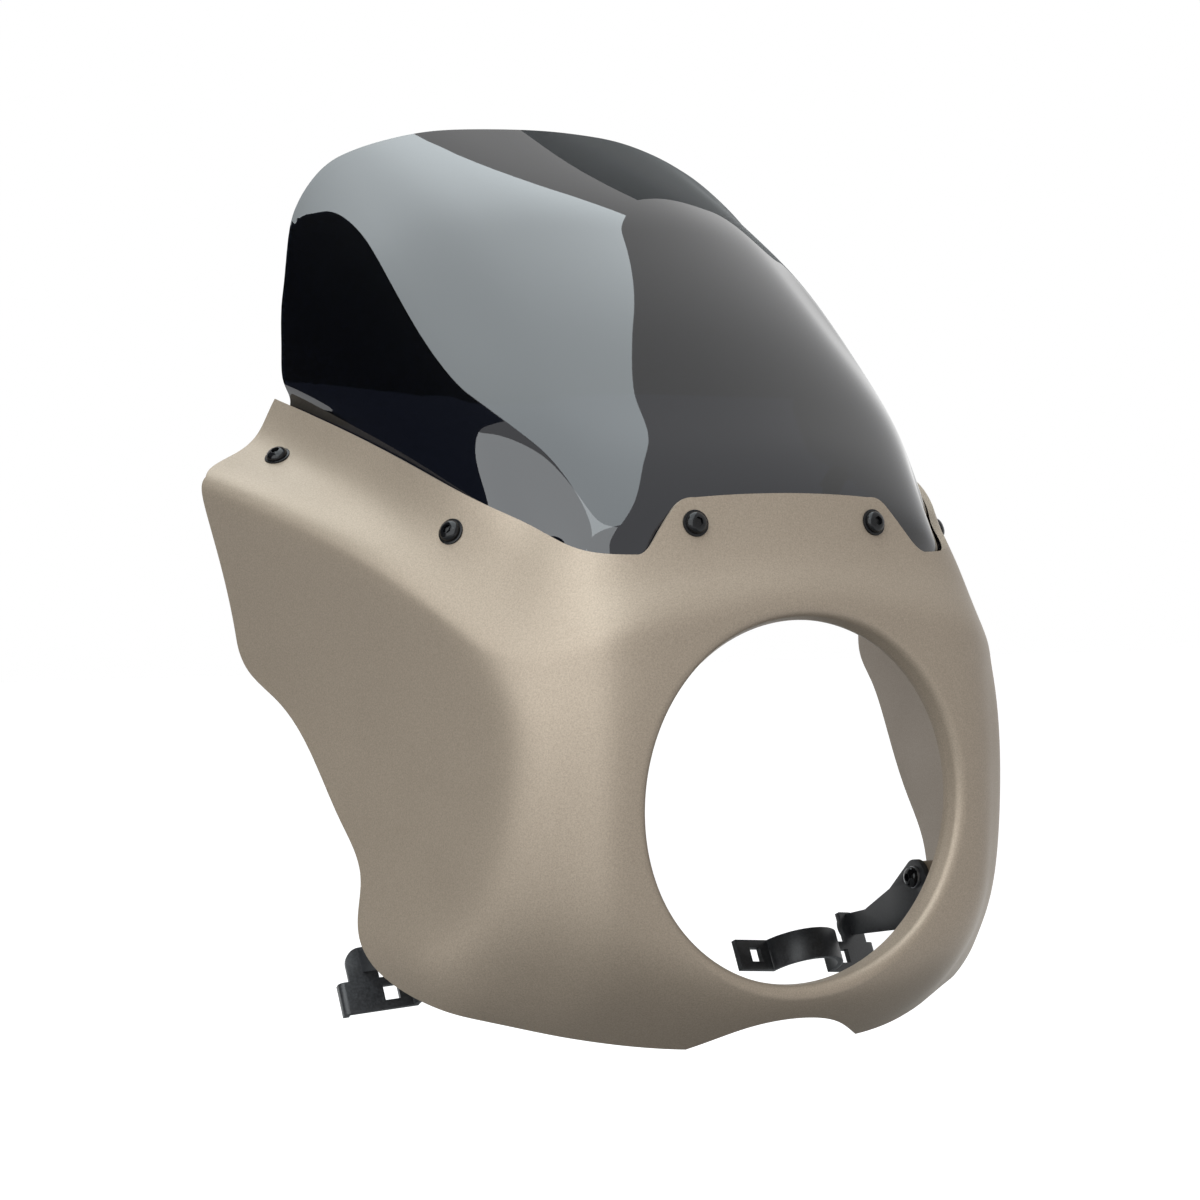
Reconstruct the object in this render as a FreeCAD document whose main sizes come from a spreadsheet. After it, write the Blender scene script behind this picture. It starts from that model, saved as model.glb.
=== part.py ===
import FreeCAD, Part
import math
import os

V = FreeCAD.Vector

# Headlight cowl for a motorbike with a 5.75 inch lamp and 39 mm fork tubes.
# Millimetres. The origin is the centre of the lamp opening at the rear of its lip,
# the front faces -Y, +X is the cowl's right-hand side as drawn and +Z is up.

doc = FreeCAD.newDocument("HeadlightCowl")

# Driving dimensions

SIZES = [
    ("lamp_radius", 85, "inner radius of the lamp opening"),
    ("lip_round", 5, "radius of the soft corner round the lamp opening"),
    ("lip_flare", 2, "how much wider the return is at that corner than at its bore"),
    ("lip_depth", 11.5, "depth of the return from its front face to its rear edge"),
    ("lip_straight", 3, "length of the straight bore at the return's rear edge"),
    ("lip_rear", 1.5, "how far the return reaches behind the origin"),
    ("lip_fall", 4.5, "radius that leads from the return's front face to the skin"),
    ("shell_wall", 3, "wall of the moulded shell"),
    ("screen_wall", 3, "wall of the windshield"),
    ("screen_gap", 1.5, "gap between shell and windshield for the rubber flanges"),
    ("wing_half_span", 211, "half the width over the shoulders at the rear"),
    ("rear_reach", 232, "how far the top rear corners lie behind the lamp opening"),
    ("shoulder_reach", 215.5, "how far the shoulder corners lie behind the lamp opening"),
    ("tab_top", 144, "height of the front tab over the lamp centre"),
    ("tab_half_width", 57, "half the width of the front tab at its top corners"),
    ("tab_corner", 8, "radius of the front tab's top corners"),
    ("notch_floor", 116, "height of the notch floors beside the tab"),
    ("chin_drop", 115, "depth of the chin tips under the lamp centre"),
    ("arch_half_width", 53, "half the width of the arch between the chin tips"),
    ("arch_drop", 101, "depth of the arch's crown under the lamp centre"),
    ("screen_top", 333, "height of the windshield's top edge at the middle"),
    ("screen_lean", 244, "how far the top edge lies behind the lamp opening"),
    ("screw_radius", 3, "M6 button head screw"),
    ("screw_length", 20, "length under the head"),
    ("head_radius", 5.25, "radius of the button head"),
    ("head_height", 3.3, "height of the button head"),
    ("socket_flats", 4, "hexagon socket across flats"),
    ("washer_radius", 6.4, "washer under the button head"),
    ("washer_thick", 1.2, "thickness of that washer"),
    ("spot_depth", 0.3, "depth of the flat spot under each washer"),
    ("hole_clearance", 0.3, "radial clearance of screws in their holes"),
    ("nut_radius", 5.5, "radius of the well nut's rubber body"),
    ("nut_length", 13, "length of the rubber body behind its flange"),
    ("nut_flange_radius", 7, "radius of the well nut's flange"),
    ("nut_flange_thick", 0.9, "thickness of that flange"),
    ("insert_radius", 4, "radius of the brass insert"),
    ("insert_length", 8, "length of the brass insert"),
    ("fork_radius", 19.5, "39 mm fork tube"),
    ("fork_half_spacing", 101, "half the distance between the fork tubes"),
    ("fork_reach", 150, "how far the tube axis lies behind the lamp at the strap"),
    ("fork_drop", 95.5, "depth of the strap's middle under the lamp centre"),
    ("fork_rake", 27, "lean of the fork tubes in degrees"),
    ("strap_thick", 3, "thickness of the bracket's steel"),
    ("strap_height", 16, "height of the bracket's strap"),
    ("ear_turn", 12, "how far the strap is turned about the tube in degrees"),
    ("outer_ear", 34.5, "length of the outer ear past the saddle"),
    ("inner_ear", 22, "length of the inner ear past the saddle"),
    ("square_hole", 7.5, "square hole for a carriage bolt"),
    ("hole_half_spacing", 32, "half the distance between the two square holes"),
    ("boss_radius", 8, "moulded boss inside the cheek"),
    ("boss_insert_radius", 4, "brass insert in the boss"),
    ("boss_insert_length", 7, "length of that insert"),
    ("boss_height", 13.8, "how far the boss faces stand in from the cheek's wall"),
    ("bracket_screw_length", 12, "length of a bracket screw under its head"),
    ("lock_washer_radius", 5.6, "spring washer under a bracket screw's head"),
    ("lock_washer_thick", 1.6, "thickness of that spring washer"),
]

sheet = doc.addObject("Spreadsheet::Sheet", "Sizes")
for row, (alias, value, note) in enumerate(SIZES, start=1):
    sheet.set("A%d" % row, note)
    sheet.set("B%d" % row, str(value))
    sheet.setAlias("B%d" % row, alias)
doc.recompute()


def size(alias):
    """Value of one driving dimension."""
    return float(sheet.get(alias))


def feature(name, shape):
    """A document object that holds one computed shape."""
    item = doc.addObject("Part::Feature", name)
    item.Label = name
    item.Shape = shape
    return item


def primitive(kind, name, placement=None, **sizes):
    """A Part primitive whose sizes are bound to the sheet by expressions."""
    item = doc.addObject(kind, name)
    item.Label = name
    for prop, expression in sizes.items():
        item.setExpression(prop, expression)
    if placement is not None:
        item.Placement = placement
    return item


def cut(name, base, tool):
    """Base less tool."""
    item = doc.addObject("Part::Cut", name)
    item.Label = name
    item.Base = base
    item.Tool = tool
    return item


def fuse(name, pieces):
    """Several shapes joined into one."""
    item = doc.addObject("Part::MultiFuse", name)
    item.Label = name
    item.Shapes = pieces
    return item


def drilled(name, body, drills):
    """A body with its holes cut one after another."""
    for number, drill in enumerate(drills[:-1], start=1):
        body = cut("%s_hole_%d" % (name, number), body, drill)
    return cut(name, body, drills[-1])


# Free-form skins
# Each rib is a profile of the right-hand half from its top end to its bottom end:
# over the edge, upper edge, flange, shoulder, side, waist, cheek, lower edge, under the edge.
# The last number of a rib says how softly its shoulder turns.

NET_SPAN = 211
NET_REACH = 232
NET_TOP = 144
NET_DROP = 115
NET_LAMP = 92

RIBS = [
    ([(0, 13, 158), (0, 10, 144), (0, 4, 121), (0, -8.6, 97), (0, -10, 25),
      (0, -9.2, -42), (0, -8.6, -88), (0, 3, -103), (0, 20, -120)], 0.45),
    ([(52, 15, 156), (52, 13, 141), (52, 7, 118), (52, -7.4, 90), (52, -10, 25),
      (52, -8.7, -42), (52, -7.4, -82), (52, 14, -108), (52, 34, -124)], 0.45),
    ([(88, 24, 148), (90, 19.5, 133), (91, 12, 112), (95, -3.6, 82), (97, -8.8, 22),
      (97, -6.9, -40), (93, 4, -80), (90, 33, -106), (88, 52, -120)], 0.5),
    ([(104, 44, 144), (108, 38, 129), (112, 28, 112), (117, 11, 74), (116, 4, 22),
      (116, 7, -42), (114, 24, -78), (111, 46, -103), (108, 62, -115)], 0.5),
    ([(112, 62, 150), (118, 54, 133), (124, 51, 115), (139.5, 38.5, 71), (136, 23, 28),
      (141, 34, -40), (137, 47, -78), (132, 61, -99), (127, 74, -111)], 0.45),
    ([(127, 83, 161), (132, 82, 144), (137.5, 81, 126), (156, 80, 97), (147.5, 78, 36),
      (153, 78, -44), (160, 80, -74), (153, 82, -94), (146, 88, -106)], 0.42),
    ([(142, 144, 182), (147, 145, 167), (153, 146, 150), (184, 147, 131), (164, 145, 36),
      (171, 140, -46), (171, 138, -72), (165, 138, -96), (158, 140, -108)], 0.42),
    ([(153, 244, 208), (158, 242, 194), (167, 241, 176), (212, 236, 157), (187, 232, 50),
      (192, 228, -46), (190, 224, -74), (184, 222, -98), (176, 222, -110)], 0.42),
]


def between(a, b, share):
    """The point that lies a share of the way from a to b."""
    return a + (b - a) * share


def fitted(point):
    """A rib's point moved with the cowl's overall sizes."""
    x, y, z = point
    lamp_growth = size("lamp_radius") + size("lip_flare") + size("lip_round") - NET_LAMP
    grow_x = (size("wing_half_span") - lamp_growth) / NET_SPAN
    grow_y = size("rear_reach") / NET_REACH
    grow_z = size("tab_top") / NET_TOP if z > 0 else size("chin_drop") / NET_DROP
    side = lamp_growth * min(x / NET_LAMP, 1)
    depth = y * grow_y if y > 0 else y
    return V(x * grow_x + side, depth, z * grow_z)


def full_rib(points, softness):
    """A rib with the two points that round its shoulder."""
    over, edge, flange, shoulder, side, waist, cheek, lower, under = [fitted(p) for p in points]
    above = between(shoulder, flange, softness)
    below = between(shoulder, side, 0.5 * softness)
    return [over, edge, flange, above, shoulder, below, side, waist, cheek, lower, under]


def mirrored(half):
    """Both sides of a skin from the ribs of its right-hand half."""
    left = [[V(-p.x, p.y, p.z) for p in rib] for rib in half[:0:-1]]
    return left + half


def spread(count):
    """The places along a skin where its poles have most say."""
    last = count - 3
    knots = [0] * 4 + list(range(1, last)) + [last] * 4
    return [sum(knots[i + 1:i + 4]) / 3.0 for i in range(count)]


def skin_of_poles(poles):
    """A cubic skin with evenly spaced knots."""
    knots = []
    counts = []
    for number in (len(poles), len(poles[0])):
        knots.append(list(range(number - 2)))
        counts.append([4] + [1] * (number - 4) + [4])
    skin = Part.BSplineSurface()
    skin.buildFromPolesMultsKnots(poles, counts[0], counts[1], knots[0], knots[1], False, False, 3, 3)
    return skin


def skin_through(net, passes, gains=None):
    """A skin whose poles are moved out until it runs close by the net's points.

    A row's gain says how far its poles move each time; a low gain keeps that row's bend soft.
    """
    across = spread(len(net))
    down = spread(len(net[0]))
    poles = [list(rib) for rib in net]
    for step in range(passes):
        skin = skin_of_poles(poles)
        for i, u in enumerate(across):
            for j, w in enumerate(down):
                gain = gains[j] if gains else 1
                poles[i][j] = poles[i][j] + (net[i][j] - skin.value(u, w)) * gain
    return skin_of_poles(poles)


def inward(skin, u, w, depth):
    """The point a given depth behind a skin, measured square to it."""
    normal = skin.normal(u, w)
    if normal.dot(V(skin.value(u, w).x * -0.01, 1, 0)) < 0:
        normal = normal * -1
    return skin.value(u, w) + normal * depth


def skin_behind(skin, ribs, rows, depth):
    """The skin that lies a wall's thickness behind another."""
    net = [[inward(skin, u, w, depth) for w in spread(rows)] for u in spread(ribs)]
    return skin_through(net, 5)


def walled(outer, inner):
    """A solid between two skins, closed by ruled faces along their four borders."""
    faces = [outer.toShape(), inner.toShape()]
    u_low, u_high, w_low, w_high = outer.bounds()
    for u in (u_low, u_high):
        faces.append(Part.makeRuledSurface(outer.uIso(u).toShape(), inner.uIso(u).toShape()))
    for w in (w_low, w_high):
        faces.append(Part.makeRuledSurface(outer.vIso(w).toShape(), inner.vIso(w).toShape()))
    shell = Part.makeShell(faces)
    shell.sewShape()
    solid = Part.makeSolid(shell)
    if solid.Volume < 0:
        solid.reverse()
    return solid


SHELL_GAINS = [1, 1, 0.6, 0.3, 0.3, 0.3, 0.6, 1, 1, 1, 1]

shell_net = mirrored([full_rib(points, softness) for points, softness in RIBS])
outer_skin = skin_through(shell_net, 2, SHELL_GAINS)
inner_skin = skin_behind(outer_skin, 15, 11, size("shell_wall"))
blank = feature("shell_blank", walled(outer_skin, inner_skin))


# Outlines that trim the shell

def smooth(points):
    """A smooth edge through a few points."""
    curve = Part.BSplineCurve()
    curve.interpolate(points)
    return curve.toShape()


def straight(a, b):
    """A straight edge."""
    return Part.LineSegment(a, b).toShape()


def slab(name, edges, direction):
    """A flat outline drawn out into a solid."""
    face = Part.Face(Part.Wire(edges))
    return feature(name, face.extrude(direction))


def side_outline():
    """What stays of the shell in the side view."""
    reach = size("rear_reach")
    shoulder = size("shoulder_reach")
    chin = -size("chin_drop")
    floor = size("notch_floor")
    far = -60
    left = -260
    p = [V(left, far, floor), V(left, 8, floor), V(left, reach, 191)]
    upper = smooth([p[1], V(left, 19, floor + 1), V(left, 36, floor + 7.5), V(left, 61, floor + 19),
                    V(left, 110, floor + 39), V(left, 172, floor + 59), p[2]])
    corner = V(left, shoulder, 152)
    hip = V(left, shoulder - 2, 74)
    rear = smooth([p[2], V(left, reach - 0.5, 176), V(left, shoulder + 8, 162), corner])
    drop = straight(corner, hip)
    tip = V(left, 20, chin)
    back = smooth([hip, V(left, shoulder - 6.5, 59), V(left, 188, 43.5), V(left, 162, 16), V(left, 141, -12),
                   V(left, 123, -38), V(left, 121.5, -57), V(left, 113, -75), V(left, 78, -94),
                   V(left, 46, -107), tip])
    front = V(left, far, chin)
    edges = [straight(p[0], p[1]), upper, rear, drop, back, straight(tip, front), straight(front, p[0])]
    return slab("side_outline", edges, V(-2 * left, 0, 0))


def tab_outline():
    """The front tab between its two notches, in the front view."""
    top = size("tab_top")
    half = size("tab_half_width")
    floor = size("notch_floor")
    corner = size("tab_corner")
    front = -60
    foot = half + 25
    root = floor - 20
    edges = []
    a = V(-foot - 6, front, floor)
    for side in (-1, 1):
        low = V(side * (foot + 6), front, floor)
        bend = smooth([low, V(side * (half + 19), front, floor + 2), V(side * (half + 12), front, floor + 10),
                       V(side * (half + 4), front, top - 5 - corner * 0.4),
                       V(side * (half - 1), front, top - 3.5), V(side * (half - corner), front, top - 2)])
        edges.append(bend)
        edges.append(straight(low, V(low.x, front, root)))
    crown = Part.Arc(V(corner - half, front, top - 2), V(0, front, top), V(half - corner, front, top - 2))
    edges.append(crown.toShape())
    edges.append(straight(V(a.x, front, root), V(-a.x, front, root)))
    face = Part.Face(Part.Wire(Part.__sortEdges__(edges)))
    return feature("tab_outline", face.extrude(V(0, 90, 0)))


def arch_outline():
    """What is cut away under the lamp, between the chin tips."""
    half = size("arch_half_width")
    tip = -size("chin_drop") - 1
    crown = -size("arch_drop")
    front = -60
    low = tip - 30
    ends = [V(-half - 6, front, tip - 3), V(half + 6, front, tip - 3)]
    bow = smooth([ends[0], V(-half + 4, front, tip + 0.8), V(-half / 2, front, crown - 4), V(0, front, crown),
                  V(half / 2, front, crown - 4), V(half - 4, front, tip + 0.8), ends[1]])
    corners = [V(half + 6, front, low), V(-half - 6, front, low)]
    edges = [bow, straight(ends[1], corners[0]), straight(corners[0], corners[1]), straight(corners[1], ends[0])]
    return slab("arch_outline", edges, V(0, 95, 0))


def common(name, base, tool):
    """What two shapes share."""
    item = doc.addObject("Part::Common", name)
    item.Label = name
    item.Base = base
    item.Tool = tool
    return item


outline = fuse("outline", [side_outline(), tab_outline()])
trimmed = common("trimmed_shell", blank, outline)
arched = cut("arched_shell", trimmed, arch_outline())

# Lamp opening with its return: the front face rolls into the opening and runs back to a short bore

FACING_FRONT = FreeCAD.Rotation(V(1, 0, 0), 90)
lamp_cut = primitive("Part::Cylinder", "lamp_cut", FreeCAD.Placement(V(0, 30, 0), FACING_FRONT),
                     Radius="Sizes.lamp_radius + Sizes.lip_flare + Sizes.lip_round + Sizes.lip_fall - 2",
                     Height="60")
opened = cut("opened_shell", arched, lamp_cut)


def lip_ring():
    """The return, turned about the lamp axis as one wall with a groove behind its corner."""
    bore = size("lamp_radius")
    wall = size("shell_wall")
    rear = size("lip_rear")
    bend = size("lip_round")
    fall = size("lip_fall")
    half = math.sqrt(0.5)
    start = rear - size("lip_straight")
    face = rear - size("lip_depth")
    flared = bore + size("lip_flare")
    crest = flared + bend
    skirt = crest + fall
    floor = rear - 1.8

    def at(radius, depth):
        return V(radius, depth, 0)

    mouth = Part.Arc(at(flared, face + bend), at(crest - bend * half, face + bend - bend * half), at(crest, face))
    roll = Part.Arc(at(crest, face), at(crest + fall * half, face + fall - fall * half), at(skirt, face + fall))
    inside = bend - wall
    groove = Part.Arc(at(crest, face + wall), at(crest - inside * half, face + bend - inside * half),
                      at(flared + wall, face + bend))
    front = [at(skirt, face + fall), at(skirt, floor), at(skirt - wall, floor), at(skirt - wall, face + wall),
             at(crest, face + wall)]
    back = [at(flared + wall, face + bend), at(bore + wall, start), at(bore + wall, rear), at(bore, rear),
            at(bore, start), at(flared, face + bend)]
    edges = [mouth.toShape(), roll.toShape(), groove.toShape()]
    for corners in (front, back):
        edges.extend(straight(a, b) for a, b in zip(corners, corners[1:]))
    profile = Part.Face(Part.Wire(Part.__sortEdges__(edges)))
    return feature("lip_ring", profile.revolve(V(0, 0, 0), V(0, 1, 0), 360))


# Windshield

SCREEN_RIBS = [
    [(0, 51, 186), (0, 92, 228), (0, 146, 273), (0, 191, 304), (0, 244, 333)],
    [(47, 56, 186), (45, 97, 228), (41, 151, 273), (37, 196, 304), (32, 250, 332.5)],
    [(84, 66, 185), (81, 108, 226), (75, 160, 270), (66, 204, 301), (58, 256, 330.5)],
    [(104, 79, 185), (101, 123, 225), (95, 172, 268), (88, 215, 299), (82, 260, 325)],
    [(119, 96, 185), (117, 138, 224), (113, 184, 264), (107, 224, 292), (101, 263, 318)],
    [(132, 122, 188), (132, 155, 221), (130, 192, 253), (127, 226, 277), (122, 260, 303.5)],
    [(147, 170, 193), (147.5, 192, 214), (147, 214, 236), (145.5, 231, 254), (141.5, 248, 277)],
    [(154, 230, 203), (154, 230.5, 216), (153, 233, 229), (151, 236, 242), (148.5, 239.5, 256)],
]
SCREEN_PLACES = [6, 7, 8, 9, 10, 11, 11.667, 11.95]
SCREEN_ROWS = [1.5, 1.1, 0.7, 0.33]
NET_SCREEN_TOP = 333
NET_SCREEN_LEAN = 244


def screen_point(point):
    """A windshield point moved with its own two sizes."""
    x, y, z = point
    low = size("tab_top")
    rise = (size("screen_top") - low) / (NET_SCREEN_TOP - NET_TOP)
    lean = size("screen_lean") / NET_SCREEN_LEAN
    grow_x = size("wing_half_span") / NET_SPAN
    return V(x * grow_x, y * lean, low + (z - NET_TOP) * rise)


def screen_rib(place, upper):
    """A windshield rib: its lower rows follow the inside of the shell, the rest stands free."""
    depth = size("shell_wall") + size("screen_gap")
    lower = [inward(outer_skin, place, row, depth) for row in SCREEN_ROWS]
    free = [screen_point(point) for point in upper]
    rise = free[0] - lower[-1]
    bend = lower[-1] + rise * 0.45 + V(0, -0.03, 0.02) * rise.Length
    return lower + [bend] + free


screen_net = mirrored([screen_rib(place, upper) for place, upper in zip(SCREEN_PLACES, SCREEN_RIBS)])
screen_outer = skin_through(screen_net, 3)
screen_inner = skin_behind(screen_outer, 15, 10, size("screen_wall"))
screen_blank = feature("screen_blank", walled(screen_outer, screen_inner))


# Fasteners that hold the windshield, modelled once in their own frame
# The seat lies at z = 0 and the screw points down.

hex_radius = "Sizes.socket_flats / 2 / cos(30 deg)"
dome_radius = "(Sizes.head_radius ^ 2 + Sizes.head_height ^ 2) / (2 * Sizes.head_height)"


def button_screw(name, length, seat):
    """A button head screw with a hexagon socket; its head sits a washer's thickness above the seat."""
    dome = primitive("Part::Sphere", name + "_dome", Radius=dome_radius)
    dome.setExpression("Placement.Base.z", "%s + Sizes.head_height - %s" % (seat, dome_radius))
    disc = primitive("Part::Cylinder", name + "_disc", Radius="Sizes.head_radius", Height="Sizes.head_height")
    disc.setExpression("Placement.Base.z", seat)
    head = common(name + "_head", dome, disc)
    shank = primitive("Part::Cylinder", name + "_shank", Radius="Sizes.screw_radius", Height=length + " + 0.5")
    shank.setExpression("Placement.Base.z", "%s - %s" % (seat, length))
    blank_screw = fuse(name + "_blank", [head, shank])
    socket = doc.addObject("Part::Prism", name + "_socket")
    socket.Polygon = 6
    socket.setExpression("Circumradius", hex_radius)
    socket.setExpression("Height", "Sizes.head_height")
    socket.setExpression("Placement.Base.z", seat + " + Sizes.head_height * 0.35")
    return cut(name, blank_screw, socket)


def ring_master(name, outer, bore, bottom, height):
    """A plain ring between two heights."""
    body = primitive("Part::Cylinder", name + "_body", Radius=outer, Height=height)
    body.setExpression("Placement.Base.z", bottom)
    drill = primitive("Part::Cylinder", name + "_bore", Radius=bore, Height=height)
    drill.setExpression("Placement.Base.z", bottom)
    return cut(name, body, drill)


def nut_master():
    """The rubber body of a well nut: a flange between shell and windshield and a sleeve."""
    top = "-Sizes.shell_wall - 0.2 - Sizes.nut_flange_thick"
    flange = primitive("Part::Cylinder", "nut_flange", Radius="Sizes.nut_flange_radius",
                       Height="Sizes.nut_flange_thick")
    flange.setExpression("Placement.Base.z", top)
    sleeve = primitive("Part::Cylinder", "nut_sleeve", Radius="Sizes.nut_radius",
                       Height="Sizes.nut_length + 0.1")
    sleeve.setExpression("Placement.Base.z", top + " - Sizes.nut_length")
    whole = fuse("nut_blank", [flange, sleeve])
    drill = primitive("Part::Cylinder", "nut_bore", Radius="Sizes.screw_radius + Sizes.hole_clearance",
                      Height="Sizes.nut_length + 5")
    drill.setExpression("Placement.Base.z", top + " - Sizes.nut_length - 2")
    seat = primitive("Part::Cylinder", "nut_insert_seat", Radius="Sizes.insert_radius",
                     Height="Sizes.insert_length + 1")
    seat.setExpression("Placement.Base.z", top + " - Sizes.nut_length - 1")
    return cut("nut_master", whole, fuse("nut_drill", [drill, seat]))


screw = button_screw("screw_master", "Sizes.screw_length", "Sizes.washer_thick")
washer = ring_master("washer_master", "Sizes.washer_radius", "Sizes.screw_radius + Sizes.hole_clearance",
                     "0", "Sizes.washer_thick")
nut = nut_master()
insert_bottom = "-Sizes.shell_wall - 0.2 - Sizes.nut_flange_thick - Sizes.nut_length"
insert = ring_master("insert_master", "Sizes.insert_radius", "Sizes.screw_radius + 0.05",
                     insert_bottom, "Sizes.insert_length")
doc.recompute()

# Places of the windshield screws on the shell, as points near the skin

SCREW_PLACES = [
    ("front_left", V(-49.8, 10.5, 129.9)),
    ("front_right", V(49.8, 10.5, 129.9)),
    ("side_left", V(-137.5, 82.5, 125.5)),
    ("side_right", V(137.5, 82.5, 125.5)),
    ("rear_left", V(-172, 202, 167)),
    ("rear_right", V(172, 202, 167)),
]


def seat_on_skin(point):
    """Placement with its origin a spot's depth under the skin and +Z pointing out of it."""
    point = fitted_place(point)
    u, w = outer_skin.parameter(point)
    seat = outer_skin.value(u, w)
    out = (seat - inward(outer_skin, u, w, 1)).normalize()
    return FreeCAD.Placement(seat - out * size("spot_depth"), FreeCAD.Rotation(V(0, 0, 1), out))


def fitted_place(point):
    """A screw's place moved with the cowl's overall sizes."""
    moved = fitted((abs(point.x), point.y, point.z))
    return V(math.copysign(moved.x, point.x), moved.y, moved.z)


nodes = []
shell_drills = []
screen_drills = []
for place, point in SCREW_PLACES:
    seat = seat_on_skin(point)
    drill = primitive("Part::Cylinder", "shell_hole_" + place, Radius="Sizes.screw_radius + Sizes.hole_clearance",
                      Height="20")
    drill.Placement = seat.multiply(FreeCAD.Placement(V(0, 0, -10), FreeCAD.Rotation()))
    spot_face = primitive("Part::Cylinder", "spot_face_" + place,
                          Radius="Sizes.washer_radius + Sizes.hole_clearance", Height="8")
    spot_face.Placement = seat
    shell_drills.extend([drill, spot_face])
    sleeve_hole = primitive("Part::Cylinder", "screen_hole_" + place,
                            Radius="Sizes.nut_radius + Sizes.hole_clearance", Height="24")
    sleeve_hole.Placement = seat.multiply(FreeCAD.Placement(V(0, 0, -16), FreeCAD.Rotation()))
    flange_floor = size("shell_wall") + size("nut_flange_thick") + 0.4
    flange_spot = primitive("Part::Cylinder", "screen_spot_" + place,
                            Radius="Sizes.nut_flange_radius + Sizes.hole_clearance", Height="2.5")
    flange_spot.Placement = seat.multiply(FreeCAD.Placement(V(0, 0, -flange_floor), FreeCAD.Rotation()))
    screen_drills.extend([sleeve_hole, flange_spot])
    for kind, master in (("screw", screw), ("washer", washer), ("well_nut", nut), ("brass_insert", insert)):
        item = feature("%s_%s" % (kind, place), master.Shape.copy())
        item.Placement = seat
        nodes.append(item)

windshield = drilled("windshield", screen_blank, screen_drills)


# Bosses inside the cheeks, with their brass inserts, bracket screws and spring washers

BOSS_PLACES = [("upper", 104, -52), ("lower", 92, -68)]


def boss_face():
    """Distance of the boss faces from the middle plane, a boss's height inside the nearer wall."""
    walls = []
    for place, y, z in BOSS_PLACES:
        ray = straight(V(size("fork_half_spacing") / 2, y, z), V(2 * size("wing_half_span"), y, z))
        walls.append(ray.distToShape(inner_skin.toShape())[1][0][0].x)
    return min(walls) - size("boss_height")


foot_face = boss_face()
boss_shapes = []
boss_drills = []

boss_insert = ring_master("boss_insert_master", "Sizes.boss_insert_radius", "Sizes.screw_radius + 0.05",
                          "-Sizes.boss_insert_length", "Sizes.boss_insert_length")
bracket_screw = button_screw("bracket_screw_master", "Sizes.bracket_screw_length",
                             "Sizes.strap_thick + Sizes.lock_washer_thick")
lock_washer = ring_master("lock_washer_master", "Sizes.lock_washer_radius",
                          "Sizes.screw_radius + Sizes.hole_clearance", "Sizes.strap_thick",
                          "Sizes.lock_washer_thick")
doc.recompute()


middle_skin = skin_behind(outer_skin, 15, 11, size("shell_wall") / 2)


def inside_of_cheek(side, hand):
    """The space inside one cheek, up to the middle of its wall."""
    patch = middle_skin.copy()
    first, last = (0.2, 2.6) if side < 0 else (9.4, 11.8)
    patch.segment(first, last, 5.2, 7.4)
    return feature("inside_of_cheek_" + hand, patch.toShape().extrude(V(-40 * side, 0, 0)))


for side, hand in ((-1, "left"), (1, "right")):
    outward = FreeCAD.Rotation(V(0, 0, 1), V(side, 0, 0))
    cheek_space = inside_of_cheek(side, hand)
    inboard = FreeCAD.Rotation(V(0, 0, 1), V(-side, 0, 0))
    for place, y, z in BOSS_PLACES:
        spot = "%s_%s" % (hand, place)
        face = V(side * foot_face, y, z)
        post = primitive("Part::Cylinder", "boss_post_" + spot, FreeCAD.Placement(face, outward),
                         Radius="Sizes.boss_radius", Height="25")
        boss_shapes.append(common("boss_" + spot, post, cheek_space))
        pocket = primitive("Part::Cylinder", "boss_pocket_" + spot, FreeCAD.Placement(face, outward),
                           Radius="Sizes.boss_insert_radius", Height="Sizes.boss_insert_length + 0.8")
        boss_drills.append(pocket)
        for kind, master in (("boss_insert", boss_insert), ("bracket_screw", bracket_screw),
                             ("lock_washer", lock_washer)):
            item = feature("%s_%s" % (kind, spot), master.Shape.copy())
            item.Placement = FreeCAD.Placement(face, inboard)
            nodes.append(item)

shell_solid = fuse("shell_solid", [opened, lip_ring()] + boss_shapes)
cowl_shell = drilled("cowl_shell", shell_solid, shell_drills + boss_drills)


# Brackets
# The strap is drawn in the fork tube's own frame: X outboard, Z up along the tube, Y to the rear.

def fork_frame():
    """Placement of the right-hand fork tube's frame, turned about the tube by the strap's turn."""
    base = V(size("fork_half_spacing"), size("fork_reach"), -size("fork_drop"))
    rake = FreeCAD.Rotation(V(1, 0, 0), -size("fork_rake"))
    turn = FreeCAD.Rotation(V(0, 0, 1), size("ear_turn"))
    return FreeCAD.Placement(base, rake.multiply(turn))


def in_fork_frame(base, turn=0):
    """A placement given in the fork tube's frame."""
    return fork_frame().multiply(FreeCAD.Placement(base, FreeCAD.Rotation(V(0, 0, 1), turn)))


saddle_reach = size("fork_radius")
thick = size("strap_thick")
tall = size("strap_height")
tab_reach = (foot_face - thick / 2 - size("fork_half_spacing")) / math.cos(math.radians(size("ear_turn")))
tab_rise = tall / 2 + 8.5
outer_end = saddle_reach + thick + size("outer_ear")
inner_end = saddle_reach + thick + size("inner_ear")

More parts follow.
